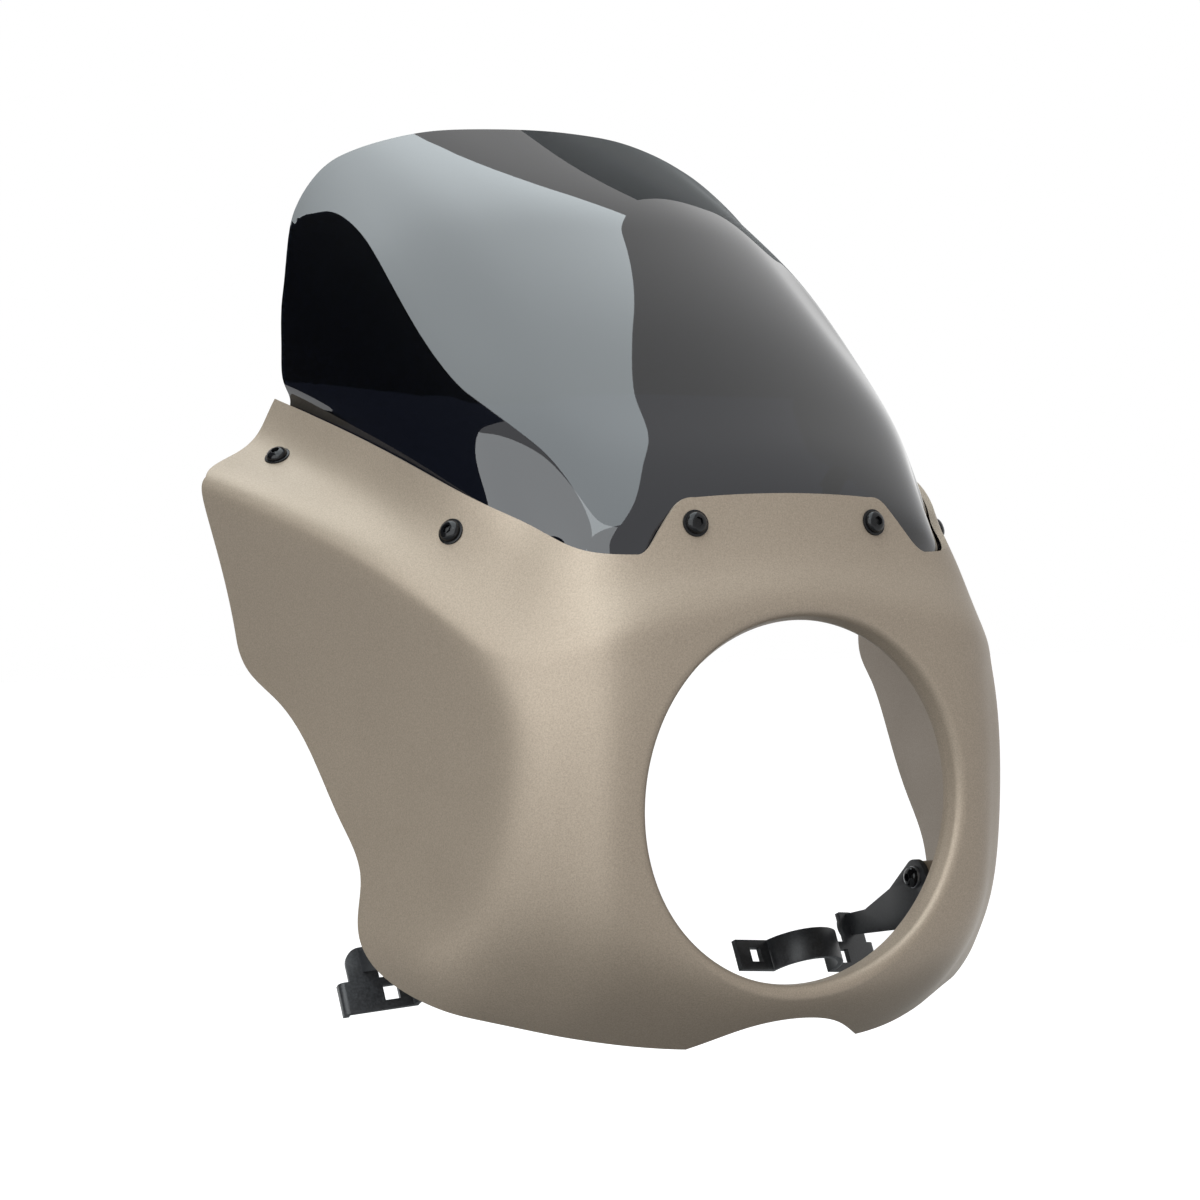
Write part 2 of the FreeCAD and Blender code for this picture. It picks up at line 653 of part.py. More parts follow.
saddle = primitive("Part::Cylinder", "saddle", in_fork_frame(V(0, 0, -tall / 2), 180),
                   Radius="Sizes.fork_radius + Sizes.strap_thick", Height="Sizes.strap_height", Angle="180")
outer_ear = primitive("Part::Box", "outer_ear", in_fork_frame(V(saddle_reach + 0.5, -thick, -tall / 2)),
                      Length=str(outer_end - saddle_reach - 0.5 - thick), Width="Sizes.strap_thick",
                      Height="Sizes.strap_height")
inner_ear = primitive("Part::Box", "inner_ear", in_fork_frame(V(-inner_end, -thick, -tall / 2)),
                      Length=str(inner_end - saddle_reach - 0.5), Width="Sizes.strap_thick",
                      Height="Sizes.strap_height")
fold = primitive("Part::Cylinder", "ear_fold", in_fork_frame(V(outer_end - thick, 0, -tall / 2), -90),
                 Radius="Sizes.strap_thick", Height="Sizes.strap_height", Angle="90")
fold_return = primitive("Part::Box", "ear_return", in_fork_frame(V(outer_end - thick, -0.01, -tall / 2)),
                        Length="Sizes.strap_thick", Width="Sizes.strap_thick", Height="Sizes.strap_height")
tab = primitive("Part::Box", "tab_plate", in_fork_frame(V(tab_reach - 7, -thick, tall / 2 - 0.5)),
                Length="7", Width="Sizes.strap_thick", Height="17")
tab_low = primitive("Part::Box", "tab_low", in_fork_frame(V(tab_reach - 7, -thick, tall / 2 - 0.5)),
                    Length="15", Width="Sizes.strap_thick", Height="9")
tab_round = primitive("Part::Cylinder", "tab_round", FreeCAD.Placement(), Radius="8",
                      Height="Sizes.strap_thick")
tab_round.Placement = in_fork_frame(V(tab_reach, 0, tab_rise)).multiply(
    FreeCAD.Placement(V(0, 0, 0), FreeCAD.Rotation(V(1, 0, 0), 90)))


def arm_plate():
    """The flat arm that runs from the strap's tab to the two boss faces."""
    x = foot_face - thick
    root = in_fork_frame(V(tab_reach, 0, tab_rise)).Base
    (y_up, z_up), (y_low, z_low) = [(y, z) for place, y, z in BOSS_PLACES]
    pad = size("boss_radius") + 1
    lean = 0.6 * pad
    corners = [V(x, y_low - lean, z_low - 0.8 * pad), V(x, y_low + 30, z_low - 13),
               V(x, root.y - 3.5, root.z - 3), V(x, root.y + 1.5, root.z + 7.5),
               V(x, root.y - 17.5, root.z + 12), V(x, y_up + 22, z_up - 8), V(x, y_up + lean, z_up + 0.8 * pad),
               V(x, y_up - lean, z_up + 0.8 * pad), V(x, y_low - lean, z_low + 0.8 * pad)]
    face = Part.Face(Part.Wire([straight(a, b) for a, b in zip(corners, corners[1:] + corners[:1])]))
    return feature("arm_plate", face.extrude(V(thick, 0, 0)))


pads = []
for place, y, z in BOSS_PLACES:
    pad_place = FreeCAD.Placement(V(foot_face - thick, y, z), FreeCAD.Rotation(V(0, 1, 0), 90))
    pads.append(primitive("Part::Cylinder", "arm_pad_" + place, pad_place, Radius="Sizes.boss_radius + 1",
                          Height="Sizes.strap_thick"))

bracket_blank = fuse("bracket_blank", [saddle, outer_ear, inner_ear, fold, fold_return, tab, tab_low, tab_round,
                                       arm_plate()] + pads)

tube_space = primitive("Part::Cylinder", "tube_space", in_fork_frame(V(0, 0, -60)), Radius="Sizes.fork_radius",
                       Height="120")
bracket_drills = [tube_space]
for place, x in (("outer", size("hole_half_spacing")), ("inner", -size("hole_half_spacing"))):
    half = size("square_hole") / 2
    bracket_drills.append(primitive("Part::Box", "square_hole_" + place,
                                    in_fork_frame(V(x - half, -thick - 5, -half)),
                                    Length="Sizes.square_hole", Width="Sizes.strap_thick + 10",
                                    Height="Sizes.square_hole"))
for place, y, z in BOSS_PLACES:
    start = V(foot_face - thick - 5, y, z)
    bracket_drills.append(primitive("Part::Cylinder", "arm_hole_" + place,
                                    FreeCAD.Placement(start, FreeCAD.Rotation(V(0, 1, 0), 90)),
                                    Radius="Sizes.screw_radius + Sizes.hole_clearance",
                                    Height="Sizes.strap_thick + 10"))

bracket_right = cut("bracket_right", bracket_blank, fuse("bracket_drills", bracket_drills))
bracket_left = doc.addObject("Part::Mirroring", "bracket_left")
bracket_left.Label = "bracket_left"
bracket_left.Source = bracket_right
bracket_left.Normal = V(1, 0, 0)
nodes.extend([cowl_shell, windshield, bracket_right, bracket_left])

doc.recompute()


# Checks and export

for item in doc.Objects:
    if "Invalid" in item.State or "Error" in item.State:
        raise RuntimeError("%s did not recompute" % item.Label)

os.makedirs("parts", exist_ok=True)
for item in nodes:
    shape = item.Shape
    if shape.isNull() or not shape.isValid():
        raise RuntimeError("%s has no valid shape" % item.Label)
    if len(shape.Solids) != 1:
        raise RuntimeError("%s is %d solids, not one" % (item.Label, len(shape.Solids)))
    shape.Solids[0].exportStep("parts/%s.step" % item.Label)
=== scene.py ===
import math

import bmesh
import bpy
import numpy as np
from mathutils import Matrix, Vector
from mathutils.geometry import delaunay_2d_cdt
from mathutils.kdtree import KDTree


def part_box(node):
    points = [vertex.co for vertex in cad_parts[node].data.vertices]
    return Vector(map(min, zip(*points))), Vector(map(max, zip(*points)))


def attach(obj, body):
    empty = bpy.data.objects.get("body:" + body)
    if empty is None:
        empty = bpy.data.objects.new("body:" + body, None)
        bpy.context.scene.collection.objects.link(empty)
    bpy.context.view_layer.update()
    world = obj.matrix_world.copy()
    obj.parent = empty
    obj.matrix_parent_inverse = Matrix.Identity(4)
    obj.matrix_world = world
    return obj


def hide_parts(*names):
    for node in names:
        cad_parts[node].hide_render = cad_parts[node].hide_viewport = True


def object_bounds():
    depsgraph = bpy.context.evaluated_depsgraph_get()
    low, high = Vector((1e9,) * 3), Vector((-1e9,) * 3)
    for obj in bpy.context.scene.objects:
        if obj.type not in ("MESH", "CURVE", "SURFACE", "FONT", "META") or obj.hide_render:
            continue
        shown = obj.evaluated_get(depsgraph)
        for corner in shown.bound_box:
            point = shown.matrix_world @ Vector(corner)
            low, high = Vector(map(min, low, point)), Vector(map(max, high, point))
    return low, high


# Headlight cowl for a motorbike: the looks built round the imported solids.
# Metres, in the frame of the solids: -Y is the front, +Z is up.

bl_info = {
    "name": "Headlight cowl",
    "version": (1, 0, 0),
    "blender": (4, 5, 0),
    "location": "View3D > Sidebar > Cowl",
    "description": "Builds the moulded cowl, its smoked windshield, fasteners and brackets",
    "category": "Object",
}

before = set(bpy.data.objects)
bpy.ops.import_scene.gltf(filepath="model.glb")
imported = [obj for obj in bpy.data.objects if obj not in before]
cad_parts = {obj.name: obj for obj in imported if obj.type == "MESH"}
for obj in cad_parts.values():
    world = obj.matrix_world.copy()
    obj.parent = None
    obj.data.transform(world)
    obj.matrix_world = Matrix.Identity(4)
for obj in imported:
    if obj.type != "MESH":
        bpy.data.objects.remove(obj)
CAD_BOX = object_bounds()

MM = 0.001
SCREW_PLACES = [end + "_" + side for end in ("front", "side", "rear") for side in ("left", "right")]
FOOT_PLACES = [side + "_" + level for side in ("left", "right") for level in ("upper", "lower")]

# Places, ring nodes and screw nodes of the two kinds of fastening

SCREEN_SEATS = (SCREW_PLACES, "washer_", "screw_")
FOOT_SEATS = (FOOT_PLACES, "lock_washer_", "bracket_screw_")


# Ribs of the right-hand half of the shell's outer skin, in millimetres, from the top end of
# each to its bottom end: over the edge, upper edge, flange, shoulder, side, waist, cheek,
# lower edge, under the edge. The last number says how softly the shoulder turns.

RIBS = [
    ([(0, 13, 158), (0, 10, 144), (0, 4, 121), (0, -8.6, 97), (0, -10, 25),
      (0, -9.2, -42), (0, -8.6, -88), (0, 3, -103), (0, 20, -120)], 0.45),
    ([(52, 15, 156), (52, 13, 141), (52, 7, 118), (52, -7.4, 90), (52, -10, 25),
      (52, -8.7, -42), (52, -7.4, -82), (52, 14, -108), (52, 34, -124)], 0.45),
    ([(88, 24, 148), (90, 19.5, 133), (91, 12, 112), (95, -3.6, 82), (97, -8.8, 22),
      (97, -6.9, -40), (93, 4, -80), (90, 33, -106), (88, 52, -120)], 0.5),
    ([(104, 44, 144), (108, 38, 129), (112, 28, 112), (117, 11, 74), (116, 4, 22),
      (116, 7, -42), (114, 24, -78), (111, 46, -103), (108, 62, -115)], 0.5),
    ([(112, 62, 150), (118, 54, 133), (124, 51, 115), (139.5, 38.5, 71), (136, 23, 28),
      (141, 34, -40), (137, 47, -78), (132, 61, -99), (127, 74, -111)], 0.45),
    ([(127, 83, 161), (132, 82, 144), (137.5, 81, 126), (156, 80, 97), (147.5, 78, 36),
      (153, 78, -44), (160, 80, -74), (153, 82, -94), (146, 88, -106)], 0.42),
    ([(142, 144, 182), (147, 145, 167), (153, 146, 150), (184, 147, 131), (164, 145, 36),
      (171, 140, -46), (171, 138, -72), (165, 138, -96), (158, 140, -108)], 0.42),
    ([(153, 244, 208), (158, 242, 194), (167, 241, 176), (212, 236, 157), (187, 232, 50),
      (192, 228, -46), (190, 224, -74), (184, 222, -98), (176, 222, -110)], 0.42),
]
SHELL_GAINS = [1, 1, 0.6, 0.3, 0.3, 0.3, 0.6, 1, 1, 1, 1]

# The free part of the windshield's ribs, and where they and its foot follow the shell's skin

SCREEN_RIBS = [
    [(0, 51, 186), (0, 92, 228), (0, 146, 273), (0, 191, 304), (0, 244, 333)],
    [(47, 56, 186), (45, 97, 228), (41, 151, 273), (37, 196, 304), (32, 250, 332.5)],
    [(84, 66, 185), (81, 108, 226), (75, 160, 270), (66, 204, 301), (58, 256, 330.5)],
    [(104, 79, 185), (101, 123, 225), (95, 172, 268), (88, 215, 299), (82, 260, 325)],
    [(119, 96, 185), (117, 138, 224), (113, 184, 264), (107, 224, 292), (101, 263, 318)],
    [(132, 122, 188), (132, 155, 221), (130, 192, 253), (127, 226, 277), (122, 260, 303.5)],
    [(147, 170, 193), (147.5, 192, 214), (147, 214, 236), (145.5, 231, 254), (141.5, 248, 277)],
    [(154, 230, 203), (154, 230.5, 216), (153, 233, 229), (151, 236, 242), (148.5, 239.5, 256)],
]
SCREEN_PLACES = [6, 7, 8, 9, 10, 11, 11.667, 11.95]
SCREEN_ROWS = [1.5, 1.1, 0.7, 0.33]


# How the wall of the windshield's foot lies inside the shell's outer skin, and how its ribs
# bend from there to their free part

SCREEN_DEPTH = 0.0045
BEND_SHARE = 0.45
BEND_PUSH = np.array([0, -0.03, 0.02])

# The return of the lamp opening: where it leaves the sheet, where its soft corner starts,
# the corner's radius and last angle, the bore's radius and the bore's two ends

LIP_START = 0.098
LIP_CREST = 0.092
LIP_ROUND = 0.005
LIP_ANGLE = math.radians(72)
LIP_BORE = 0.085
LIP_BORE_START = -0.0005
LIP_END = 0.0015
LAMP_PLACE = -0.006

# How fine the meshes are: lengths in metres, an angle that makes a corner, twice the area
# under which a face on a rim is a rounding error, and how squarely a cap faces its axis

SHEET_STEP = 0.0026
SHELL_RIM_STEP = 0.0022
SCREEN_RIM_STEP = 0.0024
LIP_POINTS = 288
STRIP_OFFSET = SHEET_STEP * 0.75
STRIP_SPACING = SHEET_STEP * 0.5
STRIP_CLEAR = SHEET_STEP * 0.6
FILL_CLEAR = SHEET_STEP * 0.62
ROUND_SIDES = 64
SAME_POINT = 0.000005
NO_LENGTH = 0.00002
ON_SKIN = 0.00005
CORNER = math.radians(28)
SLIVER = 1e-8
CAP = 0.9


# Sizes and colours that a user would change

class CowlSizes(bpy.types.PropertyGroup):
    """Sizes of the fasteners and edges"""
    head_radius: bpy.props.FloatProperty(
        name="Head radius", description="Radius of a button head", default=0.00525, unit="LENGTH")
    head_height: bpy.props.FloatProperty(
        name="Head height", description="Height of a button head", default=0.0033, unit="LENGTH")
    socket_flats: bpy.props.FloatProperty(
        name="Socket", description="Hexagon socket across its flats", default=0.004, unit="LENGTH")
    shank_radius: bpy.props.FloatProperty(
        name="Shank radius", description="Radius of the M6 shanks", default=0.003, unit="LENGTH")
    screen_screw: bpy.props.FloatProperty(
        name="Windshield screw", description="Length under the head", default=0.02, unit="LENGTH")
    bracket_screw: bpy.props.FloatProperty(
        name="Bracket screw", description="Length under the head", default=0.012, unit="LENGTH")
    washer_radius: bpy.props.FloatProperty(
        name="Washer radius", description="Outer radius of the flat washers", default=0.0064,
        unit="LENGTH")
    washer_thick: bpy.props.FloatProperty(
        name="Washer", description="Thickness of the flat washers", default=0.0012, unit="LENGTH")
    lock_washer_radius: bpy.props.FloatProperty(
        name="Spring washer radius", description="Outer radius of the spring washers", default=0.0056,
        unit="LENGTH")
    lock_washer_thick: bpy.props.FloatProperty(
        name="Spring washer", description="Thickness of the spring washers", default=0.0016,
        unit="LENGTH")
    bore_radius: bpy.props.FloatProperty(
        name="Washer bore", description="Inner radius of all washers", default=0.0033, unit="LENGTH")
    edge_round: bpy.props.FloatProperty(
        name="Edge rounding", description="Rounding of the steel's edges", default=0.0005,
        unit="LENGTH")
    shell_wall: bpy.props.FloatProperty(
        name="Shell wall", description="Wall of the moulded shell", default=0.003, unit="LENGTH")
    screen_wall: bpy.props.FloatProperty(
        name="Windshield wall", description="Wall of the windshield", default=0.003, unit="LENGTH")
    rim_round: bpy.props.FloatProperty(
        name="Rim rounding", description="Rounding of the shell's trimmed edges", default=0.0009,
        unit="LENGTH")
    screen_hole: bpy.props.FloatProperty(
        name="Windshield hole", description="Radius of the windshield's holes", default=0.0058,
        unit="LENGTH")
    screen_round: bpy.props.FloatProperty(
        name="Windshield rim", description="Rounding of the windshield's polished edge", default=0.0009,
        unit="LENGTH")


class CowlColours(bpy.types.PropertyGroup):
    """Colours of the finishes"""
    shell: bpy.props.FloatVectorProperty(
        name="Shell", description="Champagne metallic paint", subtype="COLOR", size=4,
        default=(0.255, 0.205, 0.156, 1))
    flake: bpy.props.FloatVectorProperty(
        name="Flake", description="Brighter flakes in the paint", subtype="COLOR", size=4,
        default=(0.335, 0.273, 0.211, 1))
    smoke: bpy.props.FloatVectorProperty(
        name="Smoke", description="Tint of the windshield", subtype="COLOR", size=4,
        default=(0.004, 0.005, 0.009, 1))
    black: bpy.props.FloatVectorProperty(
        name="Black steel", description="Blackened fasteners", subtype="COLOR", size=4,
        default=(0.003, 0.003, 0.0035, 1))
    coat: bpy.props.FloatVectorProperty(
        name="Powder coat", description="Coat of the brackets", subtype="COLOR", size=4,
        default=(0.012, 0.0125, 0.014, 1))


# Small helpers

def only(piece):
    """Leave one piece selected and active."""
    bpy.ops.object.select_all(action="DESELECT")
    piece.select_set(True)
    bpy.context.view_layer.objects.active = piece


def only_none():
    """Deselect everything."""
    bpy.ops.object.select_all(action="DESELECT")


def edit(piece, mode="VERT"):
    """Open a piece in edit mode with nothing selected."""
    only(piece)
    bpy.ops.object.mode_set(mode="EDIT")
    bpy.ops.mesh.select_mode(type=mode)
    bpy.ops.mesh.select_all(action="DESELECT")


def done():
    """Close edit mode."""
    bpy.ops.object.mode_set(mode="OBJECT")


def pick(piece, test):
    """Select the faces that pass a test, and stay in edit mode."""
    bpy.ops.mesh.select_all(action="DESELECT")
    bpy.ops.object.mode_set(mode="OBJECT")
    for face in piece.data.polygons:
        face.select = test(face)
    bpy.ops.object.mode_set(mode="EDIT")
    bpy.ops.mesh.select_mode(type="FACE")


def finish(piece, name, material, nodes, angle=35):
    """Name a piece, give it its finish and hang it on the frame."""
    piece.name = name
    piece.data.name = name
    piece.data.materials.clear()
    piece.data.materials.append(material)
    only(piece)
    bpy.ops.object.shade_smooth_by_angle(angle=math.radians(angle))
    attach(piece, "root")
    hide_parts(*nodes)
    return piece


def welded_copy(node):
    """A copy of a solid's mesh with its loose triangles joined."""
    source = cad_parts[node]
    piece = bpy.data.objects.new(node + "_copy", source.data.copy())
    bpy.context.scene.collection.objects.link(piece)
    edit(piece)
    bpy.ops.mesh.select_all(action="SELECT")
    bpy.ops.mesh.remove_doubles(threshold=SAME_POINT)
    done()
    return piece


def modify(piece, kind, **settings):
    """Apply a modifier with the given settings."""
    only(piece)
    modifier = piece.modifiers.new("step", kind)
    for name, value in settings.items():
        setattr(modifier, name, value)
    bpy.ops.object.modifier_apply(modifier="step")


def bevel(piece, width, segments=2, angle=40):
    """Round a piece's sharp edges."""
    modify(piece, "BEVEL", width=width, segments=segments, limit_method="ANGLE",
           angle_limit=math.radians(angle), harden_normals=False)


def cylinder(sides, radius, depth, place=(0, 0, 0), turn=(0, 0, 0)):
    """A cylinder with its place baked into its mesh."""
    only_none()
    bpy.ops.mesh.primitive_cylinder_add(vertices=sides, radius=radius, depth=depth,
                                        location=place, rotation=turn)
    bpy.ops.object.transform_apply(location=True, rotation=True, scale=True)
    return bpy.context.object


def tree_of(points):
    """A search tree of points."""
    tree = KDTree(len(points))
    for number, point in enumerate(points):
        tree.insert(point, number)
    tree.balance()
    return tree


def seat_of(ring, screw):
    """Where a screw sits: the middle of its washer and the direction its head points."""
    points = np.array([v.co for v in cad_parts[ring].data.vertices])
    middle = (points.min(axis=0) + points.max(axis=0)) / 2
    turned = np.linalg.svd(points - points.mean(axis=0), full_matrices=False)[2]
    axis = turned[2]
    shank = np.array([v.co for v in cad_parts[screw].data.vertices])
    reach = (shank - middle) @ axis
    if abs(reach.min()) < abs(reach.max()):
        axis = -axis
    return Vector(middle), Vector(axis)


def on_seats(master, seats, name, material, node):
    """Finished copies of a master piece, with the place of each seat baked into its mesh."""
    places, ring_node, screw_node = seats
    for place in places:
        middle, axis = seat_of(ring_node + place, screw_node + place)
        mesh = master.data.copy()
        turn = Vector((0, 0, 1)).rotation_difference(axis).to_matrix().to_4x4()
        mesh.transform(Matrix.Translation(middle) @ turn)
        piece = bpy.data.objects.new(name + place, mesh)
        bpy.context.scene.collection.objects.link(piece)
        finish(piece, name + place, material, [node + place])
    bpy.data.objects.remove(master)


# Skins: the solids' own smooth surfaces, through the same points

def weights(count, places):
    """How much each pole of a cubic skin counts at given places along it."""
    last = count - 3
    knots = np.array([0] * 4 + list(range(1, last)) + [last] * 4, float)
    places = np.clip(np.asarray(places, float), 0, last - 1e-9)[:, None]
    table = ((knots[:-1] <= places) & (places < knots[1:])).astype(float)
    for degree in (1, 2, 3):
        rise = knots[degree:-1] - knots[:-degree - 1]
        fall = knots[degree + 1:] - knots[1:-degree]
        up = np.where(rise > 0, (places - knots[:-degree - 1]) / np.where(rise > 0, rise, 1), 0)
        down = np.where(fall > 0, (knots[degree + 1:] - places) / np.where(fall > 0, fall, 1), 0)
        table = up * table[:, :-1] + down * table[:, 1:]
    return table


def on_skin(poles, across, down):
    """Points of a skin at given places."""
    first = weights(poles.shape[0], across)
    second = weights(poles.shape[1], down)
    return np.einsum("pi,pj,ijk->pk", first, second, poles, optimize=True)


def slopes(poles, across, down):
    """How a skin runs in its two directions at given places."""
    step = 0.001
    one = (on_skin(poles, across + step, down) - on_skin(poles, across - step, down))
    two = (on_skin(poles, across, down + step) - on_skin(poles, across, down - step))
    width = np.clip(across + step, 0, poles.shape[0] - 3) - np.clip(across - step, 0, None)
    height = np.clip(down + step, 0, poles.shape[1] - 3) - np.clip(down - step, 0, None)
    return one / width[:, None], two / height[:, None]


def inward(poles, across, down):
    """Unit directions square to a skin that point to its inside."""
    one, two = slopes(poles, across, down)
    square = np.cross(one, two)
    square /= np.linalg.norm(square, axis=1)[:, None]
    inside = np.zeros_like(square)
    inside[:, 0] = on_skin(poles, across, down)[:, 0] * -10
    inside[:, 1] = 1
    facing = np.sign((square * inside).sum(axis=1))
    return square * facing[:, None]


def spread(count):
    """The places along a skin where its poles have most say."""
    last = count - 3
    knots = [0] * 4 + list(range(1, last)) + [last] * 4
    return [sum(knots[i + 1:i + 4]) / 3.0 for i in range(count)]


def poles_through(net, passes, gains=None):
    """Poles moved out until their skin runs close by the net's points."""
    poles = net.copy()
    across, down = np.meshgrid(spread(net.shape[0]), spread(net.shape[1]), indexing="ij")
    gain = np.array(gains if gains else [1] * net.shape[1], float)[None, :, None]
    for _ in range(passes):
        reached = on_skin(poles, across.ravel(), down.ravel()).reshape(net.shape)
        poles = poles + (net - reached) * gain
    return poles


def both_sides(half):
    """A net for both sides from the ribs of the right-hand half."""
    half = np.array(half, float)
    left = half[:0:-1].copy()
    left[:, :, 0] *= -1
    return np.concatenate([left, half]) * MM


def shell_poles():
    """Poles of the shell's outer skin."""
    ribs = []
    for points, softness in RIBS:
        points = np.array(points, float)
        above = points[3] + (points[2] - points[3]) * softness
        below = points[3] + (points[4] - points[3]) * softness * 0.5
        ribs.append(np.vstack([points[:3], above, points[3], below, points[4:]]))
    return poles_through(both_sides(ribs), 2, SHELL_GAINS)


def screen_poles():
    """Poles of the windshield's outer skin, which follows the inside of the shell at its foot."""
    shell = shell_poles()
    ribs = []
    for place, upper in zip(SCREEN_PLACES, SCREEN_RIBS):
        across = np.full(len(SCREEN_ROWS), float(place))
        down = np.array(SCREEN_ROWS)
        lower = (on_skin(shell, across, down) + inward(shell, across, down) * SCREEN_DEPTH) / MM
        free = np.array(upper, float)
        rise = free[0] - lower[-1]
        bend = lower[-1] + rise * BEND_SHARE + BEND_PUSH * np.linalg.norm(rise)
        ribs.append(np.vstack([lower, bend, free]))
    return poles_through(both_sides(ribs), 3)


def places_of(poles, points, start=None):
    """The places on a skin nearest to given points, and how far the points lie from it."""
    points = np.asarray(points, float)
    reach = poles.shape[0] - 3, poles.shape[1] - 3
    if start is None:
        across, down = np.meshgrid(np.linspace(0, reach[0], 97), np.linspace(0, reach[1], 65),
                                   indexing="ij")
        across, down = across.ravel(), down.ravel()
        samples = on_skin(poles, across, down)
        tree = tree_of(samples)
        nearest = [tree.find(point)[1] for point in points]
        across, down = across[nearest], down[nearest]
    else:
        across, down = start[:, 0].copy(), start[:, 1].copy()
    for _ in range(7):
        miss = points - on_skin(poles, across, down)
        one, two = slopes(poles, across, down)
        a, b, c = (one * one).sum(1), (one * two).sum(1), (two * two).sum(1)
        d, e = (miss * one).sum(1), (miss * two).sum(1)
        size = a * c - b * b
        across = np.clip(across + np.clip((c * d - b * e) / size, -0.3, 0.3), 0, reach[0])
        down = np.clip(down + np.clip((a * e - b * d) / size, -0.3, 0.3), 0, reach[1])
    miss = points - on_skin(poles, across, down)
    return np.column_stack([across, down]), np.linalg.norm(miss, axis=1)


def flat_scale(poles):
    """Mean length of a skin for one step of its places, across and down."""
    wide, high = poles.shape[0] - 3, poles.shape[1] - 3
    across, down = np.meshgrid(np.linspace(0.5, wide - 0.5, 25), np.linspace(0.5, high - 0.5, 15))
    one, two = slopes(poles, across.ravel(), down.ravel())
    return np.array([np.linalg.norm(one, axis=1).mean(), np.linalg.norm(two, axis=1).mean()])


def outline_of(node, poles):
    """The outer edge of a solid's outer side, as places on its skin in order."""
    piece = welded_copy(node)
    points = np.array([v.co for v in piece.data.vertices])
    faces = [tuple(f.vertices) for f in piece.data.polygons]
    bpy.data.objects.remove(piece)
    places, miss = places_of(poles, points)
    outer = miss < ON_SKIN
    follow = {}
    edges = set()
    for face in faces:
        if all(outer[v] for v in face):
            edges.update(zip(face, face[1:] + face[:1]))
    for a, b in edges:
        if (b, a) not in edges:
            follow.setdefault(a, []).append(b)
    loops = []
    while follow:
        start = next(iter(follow))
        loop = [start]
        while loop[-1] in follow:
            ways = follow[loop[-1]]
            step = ways.pop()
            if not ways:
                del follow[loop[-1]]
            if step == start:
                break
            loop.append(step)
        loops.append(loop)
    longest = max(loops, key=lambda loop: np.linalg.norm(np.diff(points[loop], axis=0), axis=1).sum())
    return evenly(poles, places[longest], SHELL_RIM_STEP)


def evenly(poles, loop, step):
    """A closed loop of places with points about a step apart, its corners kept."""
    scale = flat_scale(poles)
    ends = np.roll(loop, -1, axis=0)
    spots = on_skin(poles, loop[:, 0], loop[:, 1])
    run = np.roll(spots, -1, axis=0) - spots
    length = np.linalg.norm(run, axis=1)
    keep = length > NO_LENGTH
    flat_length = np.linalg.norm((ends - loop) * scale, axis=1)
    loop, ends, spots, run, length = loop[keep], ends[keep], spots[keep], run[keep], length[keep]
    way = run / length[:, None]
    length = np.maximum(length, flat_length[keep])
    turn = (way * np.roll(way, 1, axis=0)).sum(axis=1)
    corners = [i for i in range(len(loop)) if turn[i] < math.cos(CORNER)]
    if not corners:
        corners = [0]
    result = []
    count = len(loop)
    for start, stop in zip(corners, corners[1:] + [corners[0] + count]):
        chain = [i % count for i in range(start, stop + 1)]
        along = np.concatenate([[0], np.cumsum(length[chain[:-1]])])
        parts = max(1, int(round(along[-1] / step)))
        marks = np.linspace(0, along[-1], parts + 1)[:-1]
        result.append(np.column_stack([np.interp(marks, along, loop[chain, k]) for k in (0, 1)]))
    return np.vstack(result)


def border_of(poles, step, round_off=0.5):
    """The four borders of a whole skin as one loop of places, with its corners taken off a little."""
    wide, high = poles.shape[0] - 3.0, poles.shape[1] - 3.0
    q = round_off
    runs = np.array([((q, 0), (wide - q, 0)), ((wide, q), (wide, high - q)),
                     ((wide - q, high), (q, high)), ((0, high - q), (0, q))])
    corners = np.array([(wide, 0), (wide, high), (0, high), (0, 0)])
    straight = np.linspace(0, 1, 400)[:, None]
    bent = np.linspace(0, 1, 9)[1:-1, None]
    loop = []
    for (start, stop), corner, (follow, _) in zip(runs, corners, np.roll(runs, -1, axis=0)):
        loop.append(start + (stop - start) * straight)
        loop.append((1 - bent) ** 2 * stop + 2 * bent * (1 - bent) * corner + bent ** 2 * follow)
    return evenly(poles, np.vstack(loop), step)


def lamp_circle(poles):
    """Places on the skin that stand in a circle round the lamp axis, seen from the front."""
    turn = np.arange(LIP_POINTS) * 2 * math.pi / LIP_POINTS
    target = LIP_START * np.column_stack([np.cos(turn), np.zeros(LIP_POINTS), np.sin(turn)])
    target[:, 1] = LAMP_PLACE
    return meet_from_front(poles, places_of(poles, target)[0], target, 15)


def hole_in(poles, place, radius, count=32):
    """Places on a skin that stand in a circle round a screw's axis."""
    middle, axis = seat_of("washer_" + place, "screw_" + place)
    frame_of_screw = Vector((0, 0, 1)).rotation_difference(axis).to_matrix()
    circle = []
    for number in range(count):
        angle = number * 2 * math.pi / count
        circle.append(middle + frame_of_screw @ Vector((math.cos(angle), math.sin(angle), 0)) * radius)
    spots = np.array(circle)
    out = np.array(axis)
    places = places_of(poles, spots)[0]
    for _ in range(5):
        here = on_skin(poles, places[:, 0], places[:, 1])
        rise = ((here - spots) @ out)[:, None] * out
        places = places_of(poles, spots + rise, places)[0]
    return places


def within(points, loop):
    """Whether flat points lie inside a flat loop."""
    x, y = points[:, 0][:, None], points[:, 1][:, None]
    a, b = loop, np.roll(loop, -1, axis=0)
    crosses = (a[:, 1] > y) != (b[:, 1] > y)
    slope = np.where(b[:, 1] == a[:, 1], 1, b[:, 1] - a[:, 1])
    meets = a[:, 0] + (y - a[:, 1]) * (b[:, 0] - a[:, 0]) / slope
    return (crosses & (x < meets)).sum(axis=1) % 2 == 1


